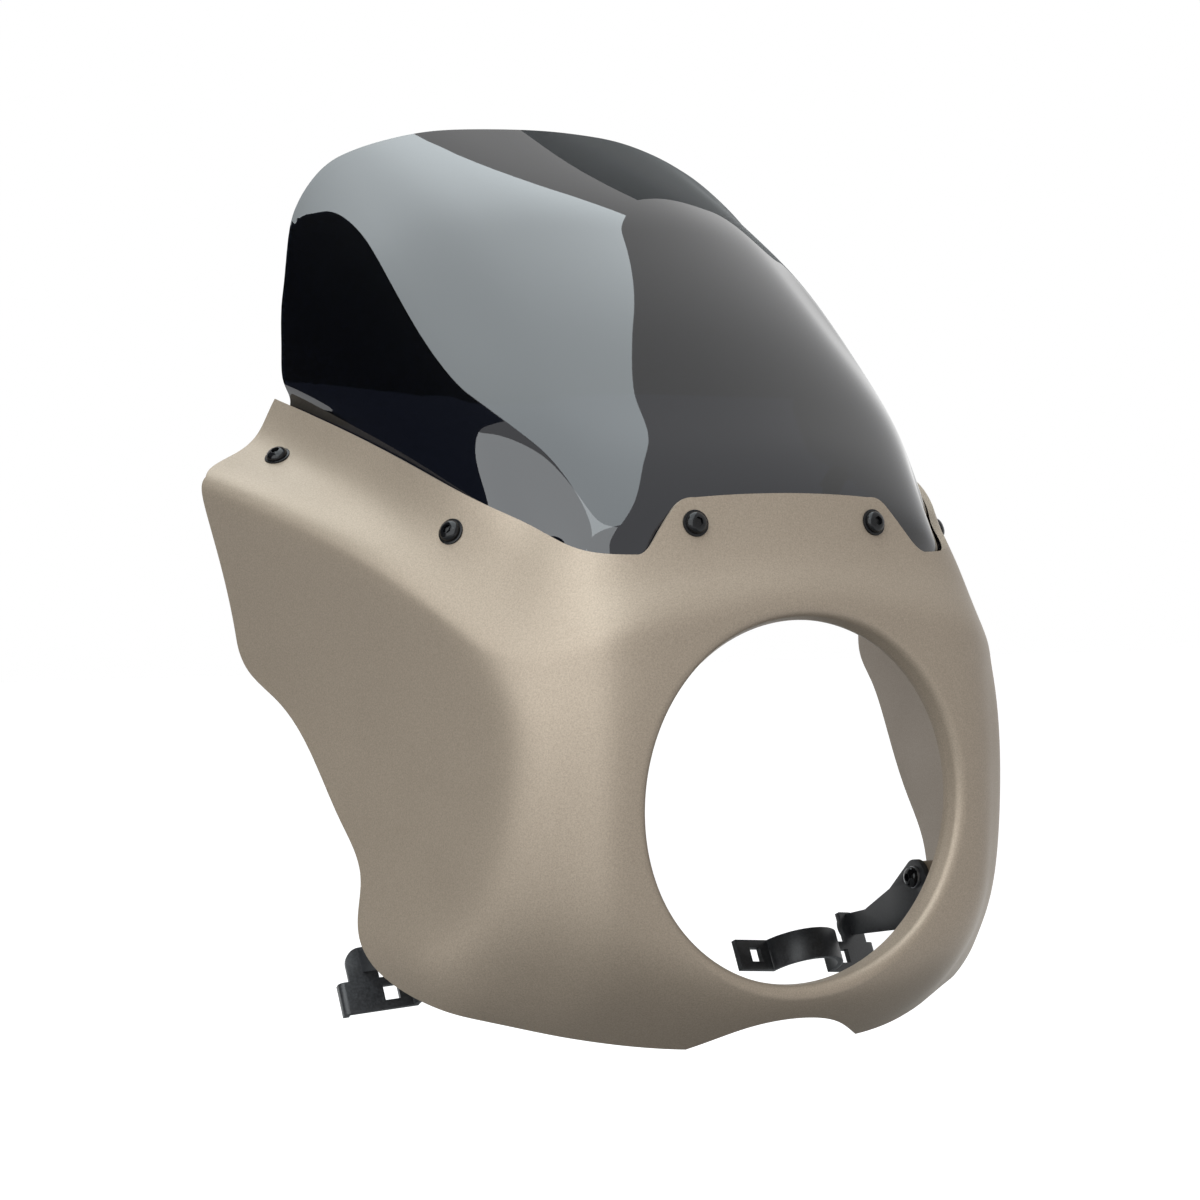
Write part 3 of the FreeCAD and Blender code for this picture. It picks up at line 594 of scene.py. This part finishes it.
def apart_from(points, others, gap):
    """The flat points that stand more than a gap away from others."""
    tree = tree_of([(x, y, 0) for x, y in others])
    return points[[tree.find((x, y, 0))[2] > gap for x, y in points]]


def strip_along(loop):
    """Flat points beside a loop on its inside, for an even strip of faces along a rim."""
    way = np.roll(loop, -1, axis=0) - np.roll(loop, 1, axis=0)
    way /= np.linalg.norm(way, axis=1)[:, None]
    after = np.roll(loop, -1, axis=0)
    side = np.sign((loop[:, 0] * after[:, 1] - after[:, 0] * loop[:, 1]).sum())
    beside = loop + np.column_stack([-way[:, 1], way[:, 0]]) * side * STRIP_OFFSET
    chosen = [beside[0]]
    for point in beside[1:]:
        if np.linalg.norm(point - chosen[-1]) > STRIP_SPACING:
            chosen.append(point)
    return np.array(chosen)


def sheet_of(name, poles, outline, holes):
    """A fine sheet on a skin, with even faces, that ends at an outline and at its holes."""
    step = SHEET_STEP
    scale = flat_scale(poles)
    loops = [loop * scale for loop in [outline] + holes]
    wide, high = (np.array(poles.shape[:2]) - 3) * scale
    grid = np.meshgrid(np.arange(step / 2, wide, step), np.arange(step / 2, high, step), indexing="ij")
    grid = np.column_stack([grid[0].ravel(), grid[1].ravel()])
    rims = np.vstack(loops)
    strip = apart_from(strip_along(loops[0]), rims, STRIP_CLEAR)
    fill = np.vstack([strip, apart_from(grid, np.vstack([rims, strip]), FILL_CLEAR)])
    inner = within(fill, loops[0])
    for loop in loops[1:]:
        inner &= ~within(fill, loop)
    flat = np.vstack([rims, fill[inner]])
    edges = []
    start = 0
    for loop in loops:
        edges += [(start + i, start + (i + 1) % len(loop)) for i in range(len(loop))]
        start += len(loop)
    result = delaunay_2d_cdt([Vector(point) for point in flat], edges, [], 0, 1e-7)
    flat = np.array(result[0])
    faces = np.array([face for face in result[2] if len(face) == 3])
    middle = flat[faces].mean(axis=1)
    one, two = (flat[faces[:, k]] - flat[faces[:, 0]] for k in (1, 2))
    keep = within(middle, loops[0]) & (np.abs(one[:, 0] * two[:, 1] - one[:, 1] * two[:, 0]) > SLIVER)
    for loop in loops[1:]:
        keep &= ~within(middle, loop)
    faces = faces[keep]
    places = flat / scale
    points = on_skin(poles, places[:, 0], places[:, 1])
    side = inward(poles, places[:, 0], places[:, 1])
    one, two = (points[faces[:, k]] - points[faces[:, 0]] for k in (1, 2))
    square = np.cross(one, two)
    turned = (square * side[faces[:, 0]]).sum(axis=1) > 0
    faces[turned] = faces[turned][:, ::-1]
    mesh = bpy.data.meshes.new(name)
    mesh.from_pydata(points.tolist(), [], faces.tolist())
    piece = bpy.data.objects.new(name, mesh)
    bpy.context.scene.collection.objects.link(piece)
    edit(piece)
    bpy.ops.mesh.select_loose()
    bpy.ops.mesh.delete(type="VERT")
    done()
    return piece


def roll_lip(piece, poles, lamp):
    """Carry the sheet on along the skin, over a soft corner and back into the opening."""
    circle = on_skin(poles, lamp[:, 0], lamp[:, 1])
    count = len(circle)
    turn = np.arctan2(circle[:, 2], circle[:, 0])

    def around(radius, depth):
        return np.column_stack([radius * np.cos(turn), np.zeros(count) + depth, radius * np.sin(turn)])

    def along_skin(radius):
        return around(radius, skin_depth(poles, lamp, around(radius, circle[:, 1])))

    rings = [circle] + [along_skin(radius) for radius in np.linspace(LIP_START, LIP_CREST, 5)[1:]]
    crest = rings[-1][:, 1]
    start = -np.arctan((along_skin(LIP_CREST + MM)[:, 1] - crest) / MM)
    for share in np.linspace(0, 1, 11)[1:]:
        angle = start + (LIP_ANGLE - start) * share
        radius = LIP_CREST - LIP_ROUND * (np.sin(angle) - np.sin(start))
        depth = crest + LIP_ROUND * (np.cos(start) - np.cos(angle))
        rings.append(around(radius, depth))
    for share in (0.33, 0.67, 1):
        rings.append(around(radius + (LIP_BORE - radius) * share,
                            depth + (LIP_BORE_START - depth) * share))
    rings.append(around(LIP_BORE, LIP_END))

    mesh = bmesh.new()
    mesh.from_mesh(piece.data)
    mesh.verts.ensure_lookup_table()
    tree = tree_of([vert.co for vert in mesh.verts])
    before = [mesh.verts[tree.find(point)[1]] for point in circle]
    for ring_points in rings[1:]:
        after = [mesh.verts.new(point) for point in ring_points]
        for i in range(count):
            j = (i + 1) % count
            mesh.faces.new((before[i], before[j], after[j], after[i]))
        before = after
    mesh.to_mesh(piece.data)
    mesh.free()
    edit(piece)
    bpy.ops.mesh.select_all(action="SELECT")
    bpy.ops.mesh.normals_make_consistent(inside=False)
    if piece.data.polygons[0].normal.dot(Vector(inward(poles, *lamp[:1].T)[0])) > 0.5:
        bpy.ops.mesh.flip_normals()
    done()


def skin_depth(poles, lamp, target):
    """How deep the skin lies at points seen from the front near the lamp circle."""
    places = meet_from_front(poles, lamp.copy(), target, 12)
    return on_skin(poles, places[:, 0], places[:, 1])[:, 1]


def meet_from_front(poles, places, target, steps):
    """Move places on a skin until they stand behind the target points, seen from the front."""
    for _ in range(steps):
        here = on_skin(poles, places[:, 0], places[:, 1])
        one, two = slopes(poles, places[:, 0], places[:, 1])
        gap = (target - here)[:, [0, 2]]
        size = one[:, 0] * two[:, 2] - two[:, 0] * one[:, 2]
        places[:, 0] += (gap[:, 0] * two[:, 2] - two[:, 0] * gap[:, 1]) / size
        places[:, 1] += (one[:, 0] * gap[:, 1] - gap[:, 0] * one[:, 2]) / size
    return places


def give_wall(piece, thickness):
    """Thicken a sheet to its inside."""
    modify(piece, "SOLIDIFY", thickness=thickness, offset=-1, use_even_offset=False,
           use_quality_normals=True)


def keep_inside(piece):
    """Hold a piece's last tenths of a millimetre within the solids' box."""
    points = np.array([v.co for v in piece.data.vertices])
    points = np.clip(points, np.array(CAD_BOX[0]), np.array(CAD_BOX[1]))
    piece.data.vertices.foreach_set("co", points.ravel())
    piece.data.update()


def even_shading(piece):
    """Let large faces lead the shading next to the rounded rims."""
    modify(piece, "WEIGHTED_NORMAL", mode="FACE_AREA", weight=90, keep_sharp=True)


BOSS_RADIUS = 0.008
BOSS_LENGTH = 0.0148
BOSS_WALL = 0.004
BOSS_POCKET = 0.0078


def add_bosses(piece):
    """Moulded bosses inside the cheeks, with pockets for the brass inserts."""
    parts = []
    for spot in FOOT_PLACES:
        low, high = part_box("boss_insert_" + spot)
        middle = (low + high) / 2
        side = 1 if middle.x > 0 else -1
        face = min(abs(low.x), abs(high.x))
        place = (side * (face + BOSS_LENGTH / 2), middle.y, middle.z)
        boss = cylinder(48, BOSS_RADIUS, BOSS_LENGTH, place, (0, math.pi / 2, 0))
        edit(boss, "FACE")
        pick(boss, lambda f: f.normal.x * side < -CAP)
        bpy.ops.mesh.inset(thickness=BOSS_WALL)
        bpy.ops.mesh.extrude_region_move(TRANSFORM_OT_translate={"value": (side * BOSS_POCKET, 0, 0)})
        done()
        bevel(boss, 0.0004, 2, 50)
        parts.append(boss)
    only(piece)
    for boss in parts:
        boss.select_set(True)
    bpy.ops.object.join()


# Materials

def new_material(name):
    """A material with its shader and a coordinate node."""
    material = bpy.data.materials.new(name)
    material.use_nodes = True
    tree = material.node_tree
    shader = tree.nodes["Principled BSDF"]
    place = tree.nodes.new("ShaderNodeTexCoord")
    return material, tree, shader, place


def noise(tree, place, scale, detail=2.0, rough=0.5):
    """A noise pattern on the object's own coordinates."""
    node = tree.nodes.new("ShaderNodeTexNoise")
    node.inputs["Scale"].default_value = scale
    node.inputs["Detail"].default_value = detail
    node.inputs["Roughness"].default_value = rough
    tree.links.new(place.outputs["Object"], node.inputs["Vector"])
    return node


def ramp(tree, source, low, high, dark, light):
    """Turn a pattern into a colour between two others."""
    node = tree.nodes.new("ShaderNodeValToRGB")
    node.color_ramp.elements[0].position = low
    node.color_ramp.elements[0].color = dark
    node.color_ramp.elements[1].position = high
    node.color_ramp.elements[1].color = light
    tree.links.new(source.outputs["Fac"], node.inputs["Fac"])
    return node


def span(tree, source, low, high, start=0.3, end=0.7):
    """Turn a pattern into a number between two others."""
    node = tree.nodes.new("ShaderNodeMapRange")
    node.inputs["From Min"].default_value = start
    node.inputs["From Max"].default_value = end
    node.inputs["To Min"].default_value = low
    node.inputs["To Max"].default_value = high
    tree.links.new(source.outputs["Fac"], node.inputs["Value"])
    return node


def bump(tree, shader, source, strength, distance):
    """Raise a surface by a pattern."""
    node = tree.nodes.new("ShaderNodeBump")
    node.inputs["Strength"].default_value = strength
    node.inputs["Distance"].default_value = distance
    tree.links.new(source.outputs["Fac"], node.inputs["Height"])
    tree.links.new(node.outputs["Normal"], shader.inputs["Normal"])
    return node


def champagne_paint(colours):
    """Satin metallic paint with fine flakes and a slight orange peel."""
    material, tree, shader, place = new_material("champagne_paint")
    flakes = noise(tree, place, 1400, 3.0, 0.7)
    tone = ramp(tree, flakes, 0.36, 0.66, tuple(colours.shell), tuple(colours.flake))
    tree.links.new(tone.outputs["Color"], shader.inputs["Base Color"])
    cloud = noise(tree, place, 22, 2.0, 0.5)
    tree.links.new(span(tree, cloud, 0.47, 0.53).outputs["Result"], shader.inputs["Roughness"])
    shader.inputs["Metallic"].default_value = 0.4
    bump(tree, shader, flakes, 0.25, 0.00012)
    return material


def smoked_plastic(colours):
    """Dark see-through sheet with a polished face."""
    material, tree, shader, place = new_material("smoked_plastic")
    haze = noise(tree, place, 9, 2.0, 0.5)
    lighter = tuple(c * 1.12 for c in colours.smoke[:3]) + (1,)
    tone = ramp(tree, haze, 0.3, 0.7, tuple(colours.smoke), lighter)
    tree.links.new(tone.outputs["Color"], shader.inputs["Base Color"])
    tree.links.new(span(tree, haze, 0.008, 0.02).outputs["Result"], shader.inputs["Roughness"])
    shader.inputs["Transmission Weight"].default_value = 1.0
    shader.inputs["IOR"].default_value = 1.58
    return material


def grained(name, pattern, band, colours, gloss, relief, metallic=0.0, shine=0.5):
    """A material whose colour, roughness and relief all follow one fine grain."""
    material, tree, shader, place = new_material(name)
    grain = noise(tree, place, *pattern)
    tone = ramp(tree, grain, *band, *colours)
    tree.links.new(tone.outputs["Color"], shader.inputs["Base Color"])
    tree.links.new(span(tree, grain, *gloss).outputs["Result"], shader.inputs["Roughness"])
    shader.inputs["Metallic"].default_value = metallic
    shader.inputs["Specular IOR Level"].default_value = shine
    bump(tree, shader, grain, *relief)
    return material


def black_steel(name, colour, rough_low, rough_high, scale, shine=0.5):
    """Blackened or coated steel with a little wear in its gloss."""
    lighter = tuple(c * 2.2 + 0.002 for c in colour[:3]) + (1,)
    return grained(name, (scale, 4.0, 0.6), (0.4, 0.75), (tuple(colour), lighter),
                   (rough_low, rough_high), (0.2, 0.00008), shine=shine)


def soft_rubber():
    """Matte black rubber of the well nuts."""
    return grained("soft_rubber", (900, 3.0, 0.6), (0.35, 0.7),
                   ((0.010, 0.010, 0.010, 1), (0.022, 0.022, 0.021, 1)), (0.6, 0.75), (0.3, 0.0001))


def turned_brass():
    """Brass with fine turning marks."""
    return grained("turned_brass", (1200, 2.0, 0.5), (0.35, 0.7),
                   ((0.52, 0.34, 0.11, 1), (0.62, 0.43, 0.17, 1)), (0.25, 0.4), (0.2, 0.00006),
                   metallic=1.0)


def zinc_steel():
    """Grey plated spring steel."""
    return grained("zinc_steel", (700, 3.0, 0.6), (0.35, 0.7),
                   ((0.28, 0.28, 0.29, 1), (0.40, 0.40, 0.41, 1)), (0.3, 0.45), (0.2, 0.00006),
                   metallic=1.0)


# Operators, one for each piece or group

class COWL_OT_shell(bpy.types.Operator):
    """Build the moulded shell with the soft return of its opening, its bosses and its paint"""
    bl_idname = "cowl.shell"
    bl_label = "Moulded shell"

    def execute(self, context):
        sizes = context.scene.cowl_sizes
        poles = shell_poles()
        outline = outline_of("cowl_shell", poles)
        lamp = lamp_circle(poles)
        holes = [hole_in(poles, place, sizes.bore_radius) for place in SCREW_PLACES]
        piece = sheet_of("moulded_shell", poles, outline, [lamp] + holes)
        roll_lip(piece, poles, lamp)
        give_wall(piece, sizes.shell_wall)
        bevel(piece, sizes.rim_round, 3, 50)
        add_bosses(piece)
        keep_inside(piece)
        paint = champagne_paint(context.scene.cowl_colours)
        finish(piece, "moulded_shell", paint, ["cowl_shell"], 40)
        even_shading(piece)
        return {"FINISHED"}


class COWL_OT_windshield(bpy.types.Operator):
    """Build the smoked windshield with its polished edge"""
    bl_idname = "cowl.windshield"
    bl_label = "Windshield"

    def execute(self, context):
        sizes = context.scene.cowl_sizes
        poles = screen_poles()
        holes = [hole_in(poles, place, sizes.screen_hole) for place in SCREW_PLACES]
        piece = sheet_of("smoked_windshield", poles, border_of(poles, SCREEN_RIM_STEP), holes)
        give_wall(piece, sizes.screen_wall)
        bevel(piece, sizes.screen_round, 4, 50)
        keep_inside(piece)
        plastic = smoked_plastic(context.scene.cowl_colours)
        finish(piece, "smoked_windshield", plastic, ["windshield"], 40)
        even_shading(piece)
        return {"FINISHED"}


# Shares of a button head's height: its skirt and the middle of its socket. Then its dome's
# steps, last angle and fullness, and the height and taper of the screw's point

HEAD_SKIRT = 0.16
HEAD_SOCKET = 0.85
HEAD_STEPS = 9
HEAD_ANGLE = math.radians(76)
HEAD_FULLNESS = 0.85
POINT_HEIGHT = 0.0006
POINT_TAPER = 0.8


def head_profile(radius, height, step):
    """Radius and height of a button head's dome at a step from its skirt to its crown."""
    angle = HEAD_ANGLE * step / HEAD_STEPS
    skirt = height * HEAD_SKIRT
    level = skirt + (height - skirt) * math.sin(angle) / math.sin(HEAD_ANGLE)
    return radius * math.cos(angle) ** HEAD_FULLNESS, level


def button_head(sizes, length, seat_height):
    """A button head screw about the Z axis, its head's underside at the given height."""
    def extrude(rise, scale):
        bpy.ops.mesh.extrude_region_move(TRANSFORM_OT_translate={"value": (0, 0, rise)})
        if scale != 1:
            bpy.ops.transform.resize(value=(scale, scale, 1), center_override=(0, 0, 0))

    radius, height = sizes.head_radius, sizes.head_height
    skirt = height * HEAD_SKIRT
    piece = cylinder(ROUND_SIDES, radius, skirt, (0, 0, seat_height + skirt / 2))
    edit(piece, "FACE")
    pick(piece, lambda f: f.normal.z > CAP)
    before_width, before_level = head_profile(radius, height, 0)
    for step in range(1, HEAD_STEPS + 1):
        width, level = head_profile(radius, height, step)
        extrude(level - before_level, width / before_width)
        before_width, before_level = width, level
    pick(piece, lambda f: f.normal.z < -CAP)
    extrude(0, sizes.shank_radius / radius)
    extrude(POINT_HEIGHT - length, 1)
    extrude(-POINT_HEIGHT, POINT_TAPER)
    done()
    corner = sizes.socket_flats / 2 / math.cos(math.radians(30))
    socket = cylinder(6, corner, height, (0, 0, seat_height + height * HEAD_SOCKET))
    modify(piece, "BOOLEAN", operation="DIFFERENCE", object=socket, solver="EXACT")
    bpy.data.objects.remove(socket)
    bevel(piece, 0.00012, 2, 45)
    return piece


def ring(outer, inner, thick, rounding=0.0002):
    """A flat washer about the Z axis with softly broken edges."""
    piece = cylinder(ROUND_SIDES, outer, thick)
    edit(piece, "FACE")
    pick(piece, lambda f: abs(f.normal.z) > CAP)
    bpy.ops.mesh.inset(thickness=outer - inner, use_even_offset=False)
    bpy.ops.mesh.bridge_edge_loops()
    done()
    bevel(piece, rounding, 2, 45)
    return piece


class COWL_OT_screws(bpy.types.Operator):
    """Build the button head screws"""
    bl_idname = "cowl.screws"
    bl_label = "Button head screws"

    def execute(self, context):
        sizes = context.scene.cowl_sizes
        black = context.scene.cowl_colours.black
        material = black_steel("gloss_black_steel", black, 0.10, 0.2, 500, 0.24)
        master = button_head(sizes, sizes.screen_screw, sizes.washer_thick / 2)
        on_seats(master, SCREEN_SEATS, "button_screw_", material, "screw_")
        master = button_head(sizes, sizes.bracket_screw, sizes.lock_washer_thick / 2)
        on_seats(master, FOOT_SEATS, "foot_screw_", material, "bracket_screw_")
        return {"FINISHED"}


class COWL_OT_washers(bpy.types.Operator):
    """Build the flat washers and the spring washers"""
    bl_idname = "cowl.washers"
    bl_label = "Washers"

    def execute(self, context):
        sizes = context.scene.cowl_sizes
        black = context.scene.cowl_colours.black
        material = black_steel("satin_black_steel", black, 0.22, 0.36, 600, 0.22)
        zinc = zinc_steel()
        master = ring(sizes.washer_radius, sizes.bore_radius, sizes.washer_thick)
        on_seats(master, SCREEN_SEATS, "flat_washer_", material, "washer_")
        master = ring(sizes.lock_washer_radius, sizes.bore_radius, sizes.lock_washer_thick)
        on_seats(master, FOOT_SEATS, "spring_washer_", zinc, "lock_washer_")
        return {"FINISHED"}


class COWL_OT_brackets(bpy.types.Operator):
    """Build the two fork brackets with rounded edges"""
    bl_idname = "cowl.brackets"
    bl_label = "Fork brackets"

    def execute(self, context):
        material = black_steel("powder_coat", context.scene.cowl_colours.coat, 0.34, 0.5, 800)
        for side in ("left", "right"):
            piece = welded_copy("bracket_" + side)
            bevel(piece, context.scene.cowl_sizes.edge_round, 2, 40)
            finish(piece, "fork_bracket_" + side, material, ["bracket_" + side])
        return {"FINISHED"}


class COWL_OT_inserts(bpy.types.Operator):
    """Give the well nuts and brass inserts their finishes"""
    bl_idname = "cowl.inserts"
    bl_label = "Well nuts and inserts"

    def execute(self, context):
        rubber = soft_rubber()
        brass = turned_brass()
        names = [("well_nut_" + place, rubber) for place in SCREW_PLACES]
        names += [("brass_insert_" + place, brass) for place in SCREW_PLACES]
        names += [("boss_insert_" + place, brass) for place in FOOT_PLACES]
        for name, material in names:
            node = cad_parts[name]
            if not node.material_slots:
                node.data.materials.append(material)
            for slot in node.material_slots:
                slot.material = material
        return {"FINISHED"}


# Stage: floor, lights, world and camera

FLOOR_SIZE = 14
FLOOR_HEIGHT = -0.32
HIGH_UP = 1.2
LOW_DOWN = -0.3
STUDIO_MIDDLE = (0, 0.08, 0.06)

# The photo's camera, and the white that it and the reflections see

LENS = 108.47
CAMERA_PLACE = (-0.9387, -1.3971, 0.1430)
VIEW_YAW = math.radians(30.77)
VIEW_PITCH = math.radians(1.66)
FILL_LEVEL = 0.3
WHITE_LEVEL = 1.0
FLOOR_GLOW = 0.8
VIEW_RIGHT = Vector((math.cos(VIEW_YAW), -math.sin(VIEW_YAW), 0))
VIEW_AHEAD = Vector((math.sin(VIEW_YAW), math.cos(VIEW_YAW), 0))


def studio_place(across, ahead, up):
    """A place given across the view, ahead of the object and above it."""
    return VIEW_RIGHT * across + VIEW_AHEAD * ahead + Vector((0, 0, up))


def studio_direction(turn, rise, distance):
    """A place seen from the object's middle: degrees round from its front, degrees up, distance."""
    turn, rise = math.radians(turn), math.radians(rise)
    level = math.cos(rise)
    way = Vector((math.sin(turn) * level, -math.cos(turn) * level, math.sin(rise)))
    return Vector(STUDIO_MIDDLE) + way * distance


def facing(place):
    """Turn a card or a lamp towards the object, or level where it hangs high up or lies low down."""
    if place.z > HIGH_UP or place.z < LOW_DOWN:
        return Matrix.Rotation(-VIEW_YAW, 4, "Z")
    return (Vector(STUDIO_MIDDLE) - place).to_track_quat("-Z", "Y").to_matrix().to_4x4()


def softbox(name, place, width, height, power, colour):
    """A soft rectangular lamp that faces the object."""
    light = bpy.data.lights.new(name, "AREA")
    light.shape = "RECTANGLE"
    light.size = width
    light.size_y = height
    light.energy = power
    light.color = colour
    lamp = bpy.data.objects.new(name, light)
    lamp.matrix_world = Matrix.Translation(place) @ facing(place)
    lamp.visible_camera = False
    bpy.context.scene.collection.objects.link(lamp)


def flat_paint(name, colour, roughness):
    """Plain paint for the stage."""
    material, tree, shader, place = new_material(name)
    grain = noise(tree, place, 3, 2.0, 0.5)
    tone = ramp(tree, grain, 0.3, 0.7, colour, tuple(c * 0.98 for c in colour[:3]) + (1,))
    tree.links.new(tone.outputs["Color"], shader.inputs["Base Color"])
    shader.inputs["Roughness"].default_value = roughness
    return material


class COWL_OT_stage(bpy.types.Operator):
    """Set the floor, the lamps, the white surroundings and the camera"""
    bl_idname = "cowl.stage"
    bl_label = "Stage"

    def execute(self, context):
        scene = context.scene
        only_none()
        bpy.ops.mesh.primitive_plane_add(size=FLOOR_SIZE, location=(0, 0, FLOOR_HEIGHT))
        floor = context.object
        floor.name = "floor"
        bpy.ops.object.transform_apply(location=True, rotation=True, scale=True)
        floor.data.materials.append(white_floor())

        world = bpy.data.worlds.new("studio")
        scene.world = world
        world.use_nodes = True
        tree = world.node_tree
        background = tree.nodes["Background"]
        level = tree.nodes.new("ShaderNodeMapRange")
        level.inputs["To Min"].default_value = FILL_LEVEL
        level.inputs["To Max"].default_value = WHITE_LEVEL
        tree.links.new(seen_directly(tree), level.inputs["Value"])
        tree.links.new(level.outputs["Result"], background.inputs["Strength"])
        background.inputs["Color"].default_value = (1, 1, 1, 1)

        softbox("overhead_softbox", studio_place(-0.28, -0.27, 1.6), 1.34, 2.7, 36,
                (0.86, 0.96, 1.0))
        softbox("left_softbox", studio_direction(-60, 22, 1.9), 2.4, 1.8, 37,
                (0.93, 0.98, 1.0))

        black = flat_paint("flag_cloth", (0.004, 0.004, 0.004, 1), 0.9)
        grey = flat_paint("grey_cloth", (0.35, 0.35, 0.35, 1), 0.9)
        flag("left_flag", studio_direction(-122, 20, 1.28), 1.2, 2.1, black)
        flag("rear_flag", studio_direction(152, 28, 1.3), 0.62, 1.0, grey)
        flag("floor_flag", Vector((-0.45, 0.05, -0.318)), 1.5, 1.7, grey)

        lens = bpy.data.cameras.new("camera")
        lens.lens = LENS
        lens.sensor_width = 36
        camera = bpy.data.objects.new("camera", lens)
        camera.location = CAMERA_PLACE
        camera.rotation_euler = (math.radians(90) - VIEW_PITCH, 0, -VIEW_YAW)
        scene.collection.objects.link(camera)
        scene.camera = camera
        scene.view_settings.view_transform = "Standard"
        return {"FINISHED"}


def seen_directly(tree):
    """One for rays that show the background to the camera, in a reflection or through glass."""
    path = tree.nodes.new("ShaderNodeLightPath")
    total = path.outputs["Is Camera Ray"]
    for kind in ("Is Glossy Ray", "Is Transmission Ray"):
        both = tree.nodes.new("ShaderNodeMath")
        both.operation = "MAXIMUM"
        tree.links.new(total, both.inputs[0])
        tree.links.new(path.outputs[kind], both.inputs[1])
        total = both.outputs[0]
    return total


def white_floor():
    """A pale floor that is white to the camera and in reflections, and still takes shadow."""
    material = flat_paint("pale_floor", (0.6, 0.6, 0.6, 1), 0.7)
    tree = material.node_tree
    shader = tree.nodes["Principled BSDF"]
    shader.inputs["Emission Color"].default_value = (1, 1, 1, 1)
    share = tree.nodes.new("ShaderNodeMath")
    share.operation = "MULTIPLY"
    share.inputs[1].default_value = FLOOR_GLOW
    tree.links.new(seen_directly(tree), share.inputs[0])
    tree.links.new(share.outputs[0], shader.inputs["Emission Strength"])
    return material


def flag(name, place, width, height, cloth):
    """A card of dark cloth that only reflections and glass show, as a dark field."""
    only_none()
    bpy.ops.mesh.primitive_plane_add(size=1)
    card = bpy.context.object
    card.name = name
    spread_out = Matrix.Diagonal((width, height, 1, 1))
    card.data.transform(Matrix.Translation(place) @ facing(place) @ spread_out)
    card.data.materials.append(cloth)
    card.visible_camera = False
    card.visible_diffuse = False


class COWL_PT_panel(bpy.types.Panel):
    """The cowl's build steps"""
    bl_idname = "COWL_PT_panel"
    bl_label = "Headlight cowl"
    bl_space_type = "VIEW_3D"
    bl_region_type = "UI"
    bl_category = "Cowl"

    def draw(self, context):
        column = self.layout.column()
        for operator in OPERATORS:
            column.operator(operator.bl_idname)
        for group in (context.scene.cowl_sizes, context.scene.cowl_colours):
            for name in group.bl_rna.properties.keys():
                if name not in ("rna_type", "name"):
                    column.prop(group, name)


OPERATORS = [COWL_OT_shell, COWL_OT_windshield, COWL_OT_screws, COWL_OT_washers, COWL_OT_brackets,
             COWL_OT_inserts, COWL_OT_stage]


def register():
    for item in [CowlSizes, CowlColours] + OPERATORS + [COWL_PT_panel]:
        bpy.utils.register_class(item)
    bpy.types.Scene.cowl_sizes = bpy.props.PointerProperty(type=CowlSizes)
    bpy.types.Scene.cowl_colours = bpy.props.PointerProperty(type=CowlColours)


def unregister():
    del bpy.types.Scene.cowl_sizes
    del bpy.types.Scene.cowl_colours
    for item in [COWL_PT_panel] + OPERATORS[::-1] + [CowlColours, CowlSizes]:
        bpy.utils.unregister_class(item)


def main():
    """Build every piece and the stage."""
    register()
    bpy.ops.cowl.shell()
    bpy.ops.cowl.windshield()
    bpy.ops.cowl.screws()
    bpy.ops.cowl.washers()
    bpy.ops.cowl.brackets()
    bpy.ops.cowl.inserts()
    bpy.ops.cowl.stage()


if __name__ == "__main__":
    main()
